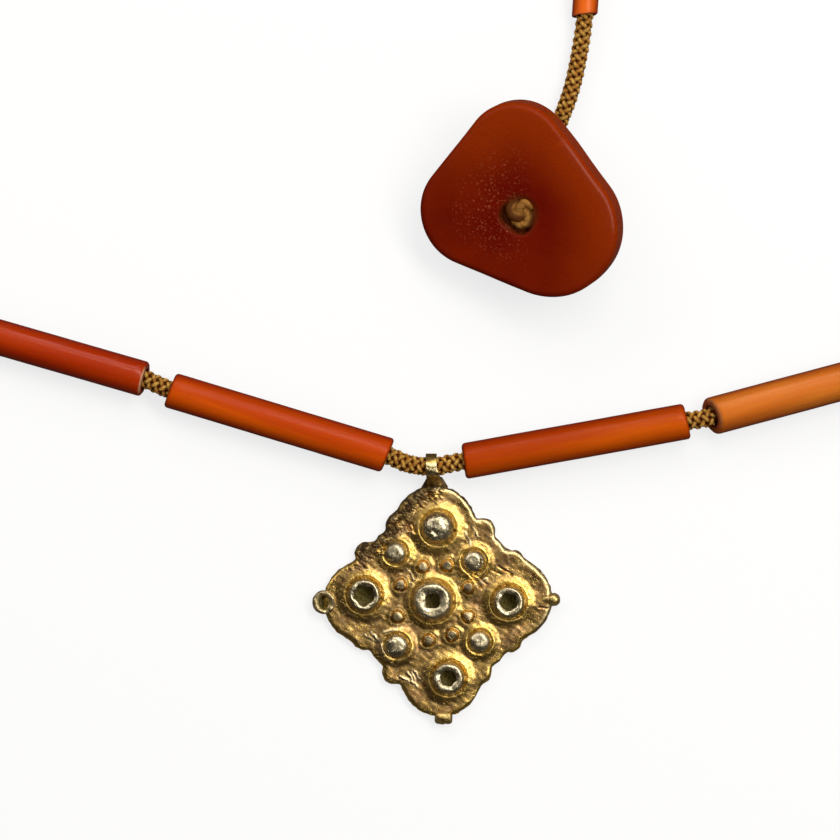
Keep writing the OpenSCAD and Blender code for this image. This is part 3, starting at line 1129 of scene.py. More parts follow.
@dataclass
class TailCord:
    """The thinner braid from the knot through the slim bead, under the disc and up into its hole."""

    bead: BeadPlace
    braid: Braid = Braid(radius=1.74, yarn_width=0.9, roll_from=0.4, roll_rate=0.01)

    def build(self, layout: Layout, material: bpy.types.Material) -> None:
        """Braids the tail and hands it over.

        Args:
            layout: Where the layout lies in the frame.
            material: The finish that it wears.
        """
        stops = np.array([*TAIL_TOP, *self.bead.stops()[::-1], *TAIL_RUN], float)
        route = Route.through(stops, fine=0.16, coarse=2.6)
        LOG.info("tail_braid: %.0f mm from end to end", route.along[-1])
        hand_over(self.braid.piece("tail", route), layout, "tail_braid", material, "braid", "tail_cord")


@dataclass
class JoinKnot:
    """The join of the loop's two ends: turns of thinner braid wound over the cord."""

    turns: float = 3.7
    outer: float = 4.42
    wrap: Braid = Braid(radius=1.34, yarn_width=0.92, yarn_depth=0.56, weave=0.2, lay=5.0, sides=6)
    core: Braid = Braid(radius=1.74)

    def build(self, layout: Layout, material: bpy.types.Material) -> None:
        """Winds the turns over a short length of the cord and hands the knot over.

        Args:
            layout: Where the layout lies in the frame.
            material: The finish that it wears.
        """
        t = np.linspace(0.0, 1.0, 420)
        angle = TAU * self.turns * t + 0.6
        tuck = 1.1 * (smoothstep(0.08, 0.0, t) + smoothstep(0.92, 1.0, t))
        reach = self.outer - self.wrap.radius - tuck
        half = KNOT_LENGTH / 2 - self.wrap.radius
        line = np.stack([-half + 2 * half * t, reach * np.cos(angle), reach * np.sin(angle)], 1)
        turns = self.wrap.piece("turns", Route.framed(line + KNOT_AT))
        end = np.array([KNOT_LENGTH / 2 - 0.1, 0.0, 0.0])
        core_route = Route.through(np.array([KNOT_AT - end, KNOT_AT + end]), fine=0.25, coarse=0.25)
        inner = self.core.piece("inner", core_route)
        hand_over(Bench.join(turns, inner), layout, "join_knot_wraps", material, "braid", "join_knot")


@dataclass
class TailEnd:
    """The tail's end, tied in a small knot of plain yarn that fills the mouth of the disc's hole."""

    centre: tuple[float, float, float] = (16.95, 47.95, 12.7)
    coil_yarn: float = 0.62
    loop_yarn: float = 1.0

    def coil(self) -> np.ndarray:
        """Gives the line of a flat coil that closes the hole under the loops.

        Returns:
            The line, around the knot's middle.
        """
        t = np.linspace(0.0, 1.0, 300)
        reach, turn = 0.2 + 2.0 * np.clip(t / 0.58, 0.0, 1.0), 3.6 * TAU * t**0.6
        return np.stack([reach * np.cos(turn) + 0.5, reach * np.sin(turn) + 0.4, np.full(t.shape, -0.9)], 1)

    def loops(self) -> np.ndarray:
        """Gives the line of three loops, tied over and under each other.

        Returns:
            The line, around the knot's middle.
        """
        t = np.linspace(0.0, TAU, 260)
        reach, turn = 1.55 + 0.75 * np.cos(3 * t), 2 * t + 0.5
        return np.stack([reach * np.cos(turn), reach * np.sin(turn), 0.45 * np.sin(3 * t) - 0.1], 1)

    def build(self, layout: Layout, material: bpy.types.Material) -> None:
        """Ties the loops over the coil and hands the knot over.

        Args:
            layout: Where the layout lies in the frame.
            material: The finish that it wears.
        """
        skein = Skein()
        yarns = ((self.coil(), self.coil_yarn, 14, 2.2), (self.loops(), self.loop_yarn, 16, 2.6))
        for line, radius, sides, ply_turn in yarns:
            route = Route.framed(line + np.array(self.centre))
            path = (route.points, route.across, -route.up)
            skein.tube(path, (radius, radius), sides, ply_turn, np.zeros(len(line)), (0.0, radius))
        hand_over(skein.piece("knot", lift=0.35), layout, "tail_end_knot", material, "braid", "tail_cord")


class EndStyle(Enum):
    """How a bead's end was left: its setback at the top, its slant to one side and its pale break."""

    ROUNDED = (0.1, -0.3, 0.0)
    SLANTED = (0.1, -0.7, 0.0)
    SLOPED = (0.1, 0.5, 0.0)
    WORN = (0.2, 0.15, 0.0)
    SCOOPED = (0.9, 0.1, 0.9)
    OBLIQUE = (3.1, 0.4, 0.25)
    LIPPED = (0.5, 0.9, 0.1)


@dataclass
class TubeBead:
    """A drilled tube bead, cut and polished by hand."""

    node: str
    place: BeadPlace
    slot: str = "resin"
    bore: float = 4.2
    chamfer: float = 0.7
    near_end: EndStyle = EndStyle.WORN
    far_end: EndStyle = EndStyle.WORN
    seed: int = 1
    sides: int = 96

    def model(self) -> bpy.types.Object:
        """Turns a cylinder into a drilled, bevelled tube with rows of points along it.

        Returns:
            The piece, around its own middle.
        """
        radius, length, bore = self.place.width / 2, self.place.length, self.bore / 2

        def rings(low: float, high: float) -> Callable[[list[Vector], Vector], bool]:
            """Gives a test for the edges around the ends whose radius lies between two."""
            return lambda corners, _: abs(corners[0].z - corners[1].z) < 0.01 and all(
                low < math.hypot(c.x, c.y) < high and abs(c.z) > length * 0.49 for c in corners)

        piece = Bench.cylinder(radius, length, self.sides)
        Bench.pick(piece, "FACE", lambda corners, normal: abs(normal.z) > 0.9)
        bpy.ops.mesh.inset(thickness=radius - bore)
        bpy.ops.mesh.delete(type="ONLY_FACE")
        Bench.pick(piece, "EDGE", rings(0.0, (radius + bore) / 2))
        bpy.ops.mesh.bridge_edge_loops()
        Bench.pick(piece, "EDGE", rings((radius + bore) / 2, radius + 1.0))
        bpy.ops.mesh.bevel(offset=self.chamfer, segments=4, affect="EDGES")
        Bench.pick(piece, "EDGE", rings(0.0, bore + 0.02))
        bpy.ops.mesh.bevel(offset=0.12, segments=2, affect="EDGES")
        Bench.pick(piece, "EDGE", lambda corners, _: abs(corners[0].z - corners[1].z) > length / 2)
        bpy.ops.mesh.subdivide(number_cuts=28)
        Bench.leave()
        return piece

    def wear_down(self, points: np.ndarray) -> tuple[np.ndarray, np.ndarray]:
        """Gives the points their hand-made form, and says where the surface is pale or grimy.

        Args:
            points: The tube's points, along Z.

        Returns:
            The new points, and a row of marks for each.
        """
        radius, half, bore = self.place.width / 2, self.place.length / 2, self.bore / 2
        x, y, z = points.T
        angle, reach = np.arctan2(y, x), np.hypot(x, y)
        outside = smoothstep(bore + 0.15, radius - 0.1, reach)
        hollow = ripple(z, angle * 3.0, 17.0, self.seed) + 0.5 * ripple(z * 2, angle * 5, 9.0, self.seed + 9)
        shrink = 1.0 - outside * 0.003 * (1.0 + hollow)
        x, y = x * shrink, y * shrink
        marks = np.zeros((len(points), 4))
        marks[:, 1] = 0.9 * smoothstep(bore + 0.5, bore + 0.05, reach)
        marks[:, 3] = 1.0
        top, aside = (x / radius + 1) / 2, (y / radius + 1) / 2
        for style, sense in ((self.near_end, -1), (self.far_end, 1)):
            setback, slant, broken = style.value
            near = smoothstep(half - 7.0, half, sense * z)
            rough = 0.06 * ripple(np.cos(angle) * 3, np.sin(angle) * 3, 2.2, self.seed + 3 + sense)
            cut = setback * top + max(slant, 0.0) * aside + max(-slant, 0.0) * (1 - aside) + np.abs(rough)
            z = z - sense * near**2 * cut
            edge = smoothstep(half - 0.42, half - 0.15, sense * points[:, 2])
            edge = edge * smoothstep(0.8, 0.4, y / radius) * smoothstep(-0.2, 0.4, np.cos(angle))
            marks[:, 0] = np.maximum(marks[:, 0], broken * edge)
        return np.stack([x, y, z], 1), marks

    def build(self, layout: Layout, material: bpy.types.Material) -> None:
        """Makes the bead, lays it on the surface and hands it over.

        Args:
            layout: Where the layout lies in the frame.
            material: The finish that it wears.
        """
        piece = self.model()
        points, marks = self.wear_down(Bench.points(piece))
        shift = np.array([self.seed * 31.0, self.seed * 17.0, 0.0])
        Bench.write(piece, "grain", points * np.array([1.0, 1.0, 0.12]) + shift)
        Bench.write(piece, "marks", marks)
        way = self.place.direction
        turned = points @ np.array([(0.0, 0.0, 1.0), np.cross(way, (0.0, 0.0, 1.0)), way])
        Bench.move_points(piece, turned + (self.place.start + self.place.end) / 2)
        Bench.smooth(piece, 50.0)
        hand_over(piece, layout, f"{self.node}_tube", material, self.slot, self.node)


@dataclass
class AmberDisc:
    """The rounded triangle of amber, with its drilled and worn hole."""

    thick: float = 9.5
    edge: float = 3.0
    top_edge: float = 1.3
    hole: float = 5.5
    tilt: float = math.radians(16.0)
    heading: float = math.radians(35.0)
    corners: tuple = ((5.7, 9.7, 9.9), (-7.1, 5.4, 10.6), (3.0, -5.7, 13.0))
    hole_at: tuple[float, float] = (17.5, 48.4)
    nick_at: tuple[float, float] = (26.0, 62.6)
    crown: float = 0.25
    sides: int = 192

    @property
    def middle_height(self) -> float:
        """Height of the disc's middle, with its lowest edge on the surface.

        Returns:
            The height in millimetres.
        """
        low_x, _, low_radius = self.corners[1]
        dropped = (low_radius - self.edge - low_x) * math.sin(self.tilt)
        return dropped + (self.thick / 2 - self.edge) * math.cos(self.tilt) + self.edge

    def outline(self, angle: np.ndarray, inset: np.ndarray | float = 0.0) -> np.ndarray:
        """Gives the distance from the hole to the outline that the three corners hold, by direction.

        Args:
            angle: Directions from the hole.
            inset: How far the outline is drawn in, one value or one for each direction.

        Returns:
            The distances.
        """
        facing = np.linspace(0.0, TAU, 1440, endpoint=False)
        held = np.max([cx * np.cos(facing) + cy * np.sin(facing) + r for cx, cy, r in self.corners], axis=0)
        lean = np.cos(facing[None, :] - angle[:, None])
        drawn = held[None, :] - np.broadcast_to(inset, angle.shape)[:, None]
        return np.where(lean > 0.05, drawn / np.maximum(lean, 0.05), np.inf).min(1)

    def section(self) -> np.ndarray:
        """Lists the section's points: inset from the outline, share of the way to the hole, and height.

        Returns:
            A row for each point.
        """
        top, low = self.thick / 2, -self.thick / 2
        quarter = np.linspace(0, math.pi / 2, 11)[1:]
        rows = [(self.top_edge, 1.0, z) for z in np.linspace(top, low, 12)]
        rows += [(self.edge, 1.0 - t**1.6, low) for t in np.linspace(0, 1, 26)[1:]]
        rows += [(self.edge * (1 - math.sin(t)), 0.0, low + self.edge * (1 - math.cos(t))) for t in quarter]
        rows += [(0.0, 0.0, z) for z in np.linspace(low + self.edge, top - self.top_edge, 8)[1:]]
        rows += [
            (self.top_edge * (1 - math.cos(t)), 0.0, top - self.top_edge * (1 - math.sin(t))) for t in quarter
        ]
        rows += [(self.top_edge, t, top) for t in 1.0 - (1.0 - np.linspace(0, 1, 44)[1:]) ** 1.5]
        return np.array(rows)

    def model(self) -> bpy.types.Object:
        """Bends a net round the hole, one column for each direction and one row for each section point.

        Returns:
            The piece, around its own middle.
        """
        section = self.section()
        piece, across, along = Bench.grid(self.sides, len(section) - 1)
        angle = across * TAU
        inset, share, height = section[np.rint(along * (len(section) - 1)).astype(int)].T
        reach = (1 - share) * self.outline(angle, inset) + share * self.hole / 2
        Bench.move_points(piece, np.stack([reach * np.cos(angle), reach * np.sin(angle), height], 1))
        Bench.edit(piece)
        bpy.ops.mesh.remove_doubles(threshold=0.0005)
        Bench.leave(outward=True)
        return piece

    def wear_down(self, points: np.ndarray) -> tuple[np.ndarray, np.ndarray]:
        """Wears the hole's mouth, nicks the rim and makes the faces uneven.

        Args:
            points: The disc's points around its hole.

        Returns:
            The new points, and a row of glow for each: painted light towards the rim, scuffed, flecked and
            polished.
        """
        x, y, z = points.T
        angle, reach, bore = np.arctan2(y, x), np.hypot(x, y), self.hole / 2
        share = np.clip((reach - bore) / (self.outline(angle) - bore), 0.0, 1.0)
        side, above = np.sign(z), z > 0
        face = smoothstep(0.55, 0.95, np.abs(z) / (self.thick / 2))

        def lobe(towards: float, width: float) -> np.ndarray:
            """Is 1 in a direction from the hole and falls off around it."""
            return np.exp(-((np.angle(np.exp(1j * (angle - towards)))) / width) ** 2)

        lobes = 0.55 + 1.15 * lobe(2.75, 0.6) + 1.1 * lobe(-2.1, 0.5)
        mouth = np.exp(-((reach - bore) / 0.75) ** 2) * face
        z = z - side * mouth * np.minimum(lobes, 1.1) * 0.9
        z = z - side * face * (self.crown * share**2 + 0.03 * (1 + ripple(x, y, 9.0, 5)))
        shrink = 1.0 - 0.004 * (1 + ripple(np.cos(angle) * 9, np.sin(angle) * 9, 6.0, 8)) * share
        funnel = (lobes - 0.5) * np.exp(-np.clip(reach - bore, 0, None) / 0.9) * face * above
        x, y = x * (shrink + funnel / reach), y * (shrink + funnel / reach)
        nick_x, nick_y = self.nick()
        z = z - above * 0.6 * np.exp(-((x - nick_x) / 2.0) ** 2 - ((y - nick_y) / 0.55) ** 2)
        seen = angle + self.heading
        # Painted light: the rim turns lighter, most on its side towards the lamps at the upper right.
        painted_rim_light = smoothstep(-0.7, 0.7, np.cos(seen - math.radians(50.0)))
        glow = 0.1 + smoothstep(0.1, 0.9, share) * (0.15 + 0.75 * painted_rim_light)
        scuffed = np.exp(-((reach - bore) / 0.9) ** 2) + np.where(reach < bore + 0.05, 0.6, 0.0)
        flecked = smoothstep(0.8, 0.3, share) * smoothstep(-0.6, 0.5, np.cos(seen - math.pi))
        polished = 0.7 * smoothstep(0.82, 0.88, share) * smoothstep(0.985, 0.95, share) * above * face
        polished = polished * (0.25 + 0.75 * smoothstep(0.8, 0.87, np.cos(seen - math.radians(24.0))))
        return np.stack([x, y, z], 1), np.stack([glow, np.clip(scuffed, 0, 1), flecked, polished], 1)

    def nick(self) -> tuple[float, float]:
        """Gives the nick's place in the disc's own directions.

        Returns:
            Its two coordinates.
        """
        dx, dy = self.nick_at[0] - self.hole_at[0], self.nick_at[1] - self.hole_at[1]
        rise = dx * math.cos(self.heading) + dy * math.sin(self.heading)
        return rise / math.cos(self.tilt), dy * math.cos(self.heading) - dx * math.sin(self.heading)

    def build(self, layout: Layout, material: bpy.types.Material) -> None:
        """Makes the disc, leans it on the cord and hands it over.

        Args:
            layout: Where the layout lies in the frame.
            material: The finish that it wears.
        """
        piece = self.model()
        points, glow = self.wear_down(Bench.points(piece))
        Bench.write(piece, "glow", glow)
        placed = Matrix.Rotation(self.heading, 3, "Z") @ Matrix.Rotation(-self.tilt, 3, "Y")
        points = points @ np.array(placed.transposed()) + np.array([*self.hole_at, self.middle_height])
        Bench.move_points(piece, points)
        Bench.smooth(piece, 60.0)
        hand_over(piece, layout, "amber_disc", material, "amber", "disc")


@dataclass(frozen=True)
class Boss:
    """A dome on the plate, in a raised skirt, with the hole worn in its top."""

    x: float
    y: float
    radius: float
    height: float
    skirt: float
    hole: float = 0.0
    facets: int = 5
    corner: float = 0.03


@dataclass(frozen=True)
class Collet:
    """The open cup at the charm's left point."""

    x: float = -20.6
    y: float = -25.9
    radius: float = 2.35
    hole: float = 1.35
    height: float = 2.6


COLLET = Collet()
KNOB_RADIUS = 1.35
RIGHT_KNOB = (23.2, -25.4)
FOOT_KNOB_X = 2.2
FOOT_KNOB_Y = -47.9
FOOT_KNOB_LENGTH = 3.4


@dataclass
class CrossCharm:
    """The cast gold cross: domed plate, studs, knobs, collet, bail and tab, all soldered together.

    The plate's face is a fine net whose height follows the relief. Its rim is folded down to a flat
    back, and the pieces around it are joined on.
    """

    plate: float = 1.95
    rim: float = 1.05
    cell: float = 0.14
    arms: tuple = ((0.55, -11.6, 8.0), (15, -25.3, 8.0), (1.7, -40, 7.8), (-12.9, -25.8, 7.85))
    ears: tuple = (
        (9.9, -12.1, 2.25), (15.5, -17.9, 2.0), (15.1, -33.6, 1.9), (9.5, -39.5, 1.9),
        (-7.4, -39.5, 2.1), (-13.1, -33, 2.0), (-12.6, -16.6, 2.2), (-6.9, -11, 1.9),
    )
    bay_rises: tuple = (0.8, 1.0, 0.8, 0.75)
    bosses: tuple = (
        Boss(0.1, -25.6, 3.85, 2.9, 4.5, 1.5, 4, 0.08),
        Boss(1.1, -11.7, 3.05, 2.8, 4.5),
        Boss(-12.9, -24.5, 3.1, 2.2, 4.5, 1.95, 5, 0.05),
        Boss(14.6, -25.8, 3.05, 2.5, 4.1, 1.65, 5, 0.06),
        Boss(3.1, -40.3, 3.05, 2.5, 4.2, 1.55, 6, 0.05),
        Boss(-6.9, -16.5, 2.0, 1.7, 2.9),
        Boss(8, -18.1, 2.1, 1.8, 2.9),
        Boss(-6.7, -34.2, 2.2, 1.8, 3.0),
        Boss(9.1, -33.4, 2.0, 1.7, 2.8),
    )
    studs: tuple = (
        (-1.7, -19.1), (2.9, -18.9), (6.9, -23), (6.9, -28.5),
        (3.8, -32.1), (-0.6, -33.1), (-6.5, -28.6), (-6, -22.5),
    )
    bail_at: tuple = (0.3, 0.05, 3.4)

    def bays(self) -> np.ndarray:
        """Gives the corners of the plate's middle, with the swell in each bay.

        Returns:
            A row for each corner.
        """
        corners = []
        for i, arm in enumerate(self.arms):
            first, second = np.array(self.ears[2 * i][:2]), np.array(self.ears[2 * i + 1][:2])
            run = (second - first) / np.linalg.norm(second - first)
            bay = (first + second) / 2 + self.bay_rises[i] * np.array([-run[1], run[0]])
            corners += [np.array(arm[:2]), first, bay, second]
        return np.array(corners)

    def inside(self, x: np.ndarray, y: np.ndarray) -> np.ndarray:
        """Gives how far inside the outline each place is. Outside, the value is negative.

        Args:
            x: First coordinates in the layout.
            y: Second coordinates in the layout.

        Returns:
            The distances.
        """
        blend = 0.5
        depth = np.zeros(x.shape)
        for cx, cy, radius in self.arms + self.ears:
            depth = depth + np.exp((radius - np.hypot(x - cx, y - cy)) / blend)
        corners = self.bays()
        away = np.full(x.shape, np.inf)
        crossings = np.zeros(x.shape, int)
        for (ax, ay), (bx, by) in zip(corners, np.roll(corners, -1, 0)):
            ex, ey = bx - ax, by - ay
            t = np.clip(((x - ax) * ex + (y - ay) * ey) / (ex**2 + ey**2), 0, 1)
            away = np.minimum(away, np.hypot(x - ax - t * ex, y - ay - t * ey))
            spans = (ay > y) != (by > y)
            crossings += spans & (x < ax + (y - ay) / (ey if ey else 1e-9) * ex)
        depth = depth + np.exp(np.where(crossings % 2 == 1, away, -away) / blend)
        return blend * np.log(depth)

    def worn_edge(self, x: np.ndarray, y: np.ndarray) -> np.ndarray:
        """Gives how far inside the bitten outline each place is."""
        bites = 0.07 * (1 + ripple(x, y, 1.6, 50)) + 0.12 * smoothstep(0.6, 1.4, ripple(x, y, 3.2, 51))
        return self.inside(x, y) - bites

    @staticmethod
    def hole_edge(boss: Boss, angle: np.ndarray) -> np.ndarray:
        """Gives the radius of a boss's worn hole by direction.

        Args:
            boss: The boss.
            angle: Directions from its middle.

        Returns:
            The radii.
        """
        corners = boss.corner * np.cos(boss.facets * (angle - 0.8))
        rough = 0.025 * ripple(np.cos(angle) * 2.5, np.sin(angle) * 2.5, 2.6, int(abs(boss.x) * 10) + 3)
        return boss.hole * (1.0 + corners + rough)

    @staticmethod
    def cut(
        piece: bpy.types.Object, level: Callable[[np.ndarray, np.ndarray], np.ndarray], drop: bool
    ) -> None:
        """Cuts a flat net along the line where a level is 0.

        Args:
            piece: The net.
            level: Gives the level for places on the net.
            drop: Whether the part with a negative level is thrown away.
        """
        points = Bench.points(piece)
        value = level(points[:, 0], points[:, 1])
        net = bmesh.new()
        net.from_mesh(piece.data)
        corners, edges = list(net.verts), list(net.edges)
        ends = np.array([[corner.index for corner in edge.verts] for edge in edges])
        crossed = np.nonzero(value[ends[:, 0]] * value[ends[:, 1]] < 0)[0]
        added = []
        for i in crossed:
            first, second = ends[i]
            share = float(np.clip(value[first] / (value[first] - value[second]), 0.02, 0.98))
            added.append(bmesh.utils.edge_split(edges[i], corners[first], share)[1])
        bmesh.ops.connect_verts(net, verts=added)
        if drop:
            bmesh.ops.delete(net, geom=[corners[i] for i in np.nonzero(value < 0)[0]], context="VERTS")
        net.to_mesh(piece.data)
        net.free()

    def rim_line(self) -> np.ndarray:
        """Gives places all along the outline.

        Returns:
            A row for each place.
        """
        turn = np.linspace(0, TAU, 240, endpoint=False)
        line = [
            np.stack([cx + radius * np.cos(turn), cy + radius * np.sin(turn)], 1)
            for cx, cy, radius in self.arms + self.ears
        ]
        corners = self.bays()
        share = np.linspace(0, 1, 60, endpoint=False)[:, None]
        line += [a + share * (b - a) for a, b in zip(corners, np.roll(corners, -1, 0))]
        line = np.vstack(line)
        line = line[self.inside(line[:, 0], line[:, 1]) < 0.6]
        step = 0.02
        for _ in range(4):
            x, y = line.T
            slope = np.stack([
                self.inside(x + step, y) - self.inside(x - step, y),
                self.inside(x, y + step) - self.inside(x, y - step),
            ], 1)
            slope /= np.linalg.norm(slope, axis=1)[:, None]
            line = line - slope * self.inside(x, y)[:, None]
        return line[np.abs(self.inside(line[:, 0], line[:, 1])) < 0.05]

    def depth(self, x: np.ndarray, y: np.ndarray) -> np.ndarray:
        """Gives the distance from each place to the nearest of the outline.

        Args:
            x: First coordinates in the layout.
            y: Second coordinates in the layout.

        Returns:
            The distances.
        """
        line = self.rim_line().astype(np.float32)
        places = np.stack([x.ravel(), y.ravel()], 1).astype(np.float32)
        away = np.empty(len(places))
        for start in range(0, len(places), 4000):
            block = places[start:start + 4000]
            gap = block[:, None, :] - line[None, :, :]
            away[start:start + 4000] = np.sqrt((gap**2).sum(2).min(1))
        return away.reshape(x.shape)

    def relief(self, x: np.ndarray, y: np.ndarray) -> tuple[np.ndarray, np.ndarray, np.ndarray]:
        """Gives the face's height, and what it is worn down to.

        Args:
            x: First coordinates in the layout.
            y: Second coordinates in the layout.

        Returns:
            The heights, rows of silver, grime, tarnish and filling, and how brown the gilding is. The silver
            holds a painted highlight on the rim's upper right, and the brown holds a painted shade towards
            the lower left.
        """
        depth = self.depth(x, y)
        rough = ripple(x, y, 1.5, 21)
        fine = ripple(x, y, 0.8, 22)
        z = self.rim + (self.plate - self.rim) * np.sqrt(1.0 - (1.0 - np.clip(depth / 1.0, 0, 1)) ** 2)
        z = z + 0.09 * ripple(x, y, 7.0, 20) * smoothstep(0.0, 1.0, depth)
        z = z + 0.028 * rough * smoothstep(0.2, 1.2, depth) - 0.1 * smoothstep(1.0, 2.6, depth)
        upper_left = smoothstep(3.0, -1.0, x) * smoothstep(-22.0, -16.0, y)
        crusted = smoothstep(4.6, 1.4, depth) * upper_left
        z = z + crusted * (0.3 * np.abs(rough) + 0.25 * np.abs(fine)) * smoothstep(0.1, 0.6, depth)
        silver = np.zeros_like(z)
        grime = smoothstep(-0.3, 0.3, rough) * crusted
        tarnish = crusted * smoothstep(-1.1, 0.1, ripple(x, y, 4.0, 30))
        filling = np.zeros_like(z)
        skirts = np.zeros_like(z)
        for boss in self.bosses:
            reach = np.hypot(x - boss.x, y - boss.y)
            outer, inner = boss.skirt + 1.2, boss.radius + 0.1
            slope = np.clip((outer - reach) / (outer - inner), 0, 1)
            rise = 0.3 * slope + 0.7 * smoothstep(0.0, 1.0, slope)
            skirts = skirts + rise - skirts * rise
        for sx, sy in self.studs:
            rise = 0.4 * smoothstep(2.6, 1.0, np.hypot(x - sx, y - sy))
            skirts = skirts + rise - skirts * rise
        z = z + 0.66 * skirts
        for boss in self.bosses:
            reach = np.hypot(x - boss.x, y - boss.y)
            angle = np.arctan2(y - boss.y, x - boss.x)
            foot = self.plate + 0.58
            tall = self.plate + boss.height - foot
            lumpy = 0.07 * ripple(x, y, 2.4, 40) + 0.015 * fine
            if boss.hole:
                edge = self.hole_edge(boss, angle)
                crest, half = (boss.radius + edge) / 2, (boss.radius - edge) / 2 * 1.03
                around = np.clip(np.abs(reach - crest) / half, 0, 1)
                drop = np.where(reach < crest, 0.14 * around**2, 0.8 - 0.8 * np.sqrt(1.0 - around**2.2))
                dome = foot + tall * (1.0 - drop) + lumpy
            else:
                share = np.clip(reach / (boss.radius + 0.05), 0, 1)
                dome = foot + tall * np.sqrt(1.0 - share**2.1) + lumpy - 0.1 * smoothstep(0.5, 0.0, share)
            groove = 0.35 * np.exp(-((reach - boss.radius - 0.2) / 0.3) ** 2)
            z = np.where(reach < boss.radius + 0.05, np.maximum(z - groove, dome), z - groove)
            bare = smoothstep(boss.radius + 0.12, boss.radius - 0.1, reach + 0.08 * ripple(x, y, 2.0, 44))
            silver = np.maximum(silver, bare)
            grime = np.maximum(grime, 0.5 * np.exp(-((reach - boss.radius - 0.2) / 0.3) ** 2))
            if boss.hole:
                hollow = reach < edge - 0.004
                floor = self.plate - 0.35 + 0.18 * fine + 0.25 * smoothstep(0.4, 1.0, reach / edge)
                z = np.where(hollow, floor, z)
                grime = np.where(hollow, np.clip(0.3 + 0.4 * fine, 0, 0.8), grime)
                silver = np.where(hollow, 0.0, silver)
                filling = np.where(hollow, 1.0, filling)
        for i, (sx, sy) in enumerate(self.studs):
            dx, dy = x - sx, y - sy
            reach = np.hypot(dx, dy) * (1.0 + 0.06 * np.sin(3 * np.arctan2(dy, dx) + i))
            z = z + 0.95 * smoothstep(1.3, 0.8, reach) + 0.08 * smoothstep(0.8, 0.0, reach)
            z = z - 0.1 * np.exp(-((reach - 1.4) / 0.2) ** 2)
            silver = np.maximum(silver, 0.75 * smoothstep(0.9, 0.72, reach))
            grime = np.maximum(grime, 0.3 * np.exp(-((reach - 1.3) / 0.18) ** 2))
            grime = np.maximum(grime, 0.3 * smoothstep(0.85, 0.7, reach))
        scars, scraped = self.scars(x, y)
        z = z + scars
        silver = np.maximum(silver, scraped)
        # Painted highlight: the rim's upper right is made silver-pale, where the lamp lights its bevel.
        painted_highlight_upper_right = smoothstep(-2.0, 3.0, y + x + 12.0) * smoothstep(-1.0, 1.0, x)
        silver = np.maximum(silver, 0.6 * smoothstep(1.3, 0.5, depth) * painted_highlight_upper_right)
        marks = np.stack([silver, np.clip(grime, 0, 1), np.clip(tarnish, 0, 1), filling], 1)
        # Painted shade: the gilding browns towards the lower left, away from the lamps.
        painted_shade_low_left = smoothstep(8.0, -24.0, x + y * 0.6 + 15.0)
        age = np.clip((1.0 - 0.95 * skirts + 0.3 * painted_shade_low_left) * smoothstep(0.3, 1.3, depth), 0, 1)
        bulge = 0.15 * (1.0 - ((x - 1.0) ** 2 + (y + 25.8) ** 2) / 22.0**2)
        return np.maximum(z + bulge * smoothstep(0.0, 3.0, depth), 0.9), marks, age

    def scars(self, x: np.ndarray, y: np.ndarray) -> tuple[np.ndarray, np.ndarray]:
        """Gives the dents, slits and burrs as heights, and how far the burrs are scraped bare.

        Args:
            x: First coordinates in the layout.
            y: Second coordinates in the layout.

        Returns:
            The heights, and the shares scraped bare.
        """
        cut, scraped = np.zeros_like(x), np.zeros_like(x)
        lines = (
            (3.5, -11.4, 4.2, -12.3, 0.16, 0.45), (0.3, -12.3, 0.8, -12.8, 0.42, 0.3),
            (9.3, -17.7, 9.5, -18.9, 0.14, 0.4), (7.3, -20.7, 9.6, -23.3, 0.13, 0.22),
            (8.2, -20.6, 10.4, -22.4, 0.12, 0.2), (11.2, -19.6, 13.0, -20.6, 0.12, 0.2),
            (12.6, -19.0, 15.4, -20.8, 0.12, 0.2), (-4.6, -19.6, -3.4, -21.6, 0.14, -0.22),
            (-3.9, -22.2, -3.3, -23.6, 0.12, -0.2), (-1.2, -4.6, 0.6, -6.4, 0.14, 0.2),
            (-10.8, -32.2, -9.0, -35.6, 0.2, -0.22), (-9.2, -31.6, -6.9, -31.0, 0.18, -0.16),
            (-6.1, -40.1, -3.4, -41.4, 0.2, -0.3), (-3.9, -39.3, -2.9, -41.9, 0.16, -0.22),
            (20.6, -26.9, 22.0, -27.1, 0.16, 0.15), (-5.4, -9.6, -4.2, -12.0, 0.3, 0.3),
            (-3.9, -11.0, -3.2, -12.6, 0.25, 0.25), (-12.8, -32.2, -11.2, -33.2, 0.2, -0.2),
            (-11.6, -31.6, -10.4, -33.4, 0.18, -0.2), (-4.6, -39.4, -3.6, -41.0, 0.22, -0.25),
            (-3.4, -39.0, -2.4, -40.6, 0.18, -0.2), (-4.4, -4.5, -2.6, -5.6, 0.16, -0.18),
            (-3.6, -4.0, -1.8, -5.2, 0.14, -0.18), (6.4, -12.6, 7.4, -15.0, 0.16, -0.15),
            (7.8, -11.6, 8.8, -13.4, 0.14, -0.15), (8.6, -22.6, 10.4, -21.4, 0.16, -0.2),
            (-8.3, -8.8, -7.2, -10.2, 0.16, -0.2), (-9.9, -13.4, -8.6, -14.6, 0.16, -0.2),
        )
        for ax, ay, bx, by, width, deep in lines:
            ex, ey = bx - ax, by - ay
            t = np.clip(((x - ax) * ex + (y - ay) * ey) / (ex**2 + ey**2), 0, 1)
            wander = 0.12 * np.sin(7.0 * t + ax)
            away = np.hypot(x - ax - t * ex + wander, y - ay - t * ey)
            cut -= (1.5 if deep > 0 else 0.5) * deep * np.exp(-((away / width) ** 2))
            if deep < 0:
                scraped = np.maximum(scraped, 0.6 * np.exp(-((away / (1.7 * width)) ** 2)))
        return cut, scraped

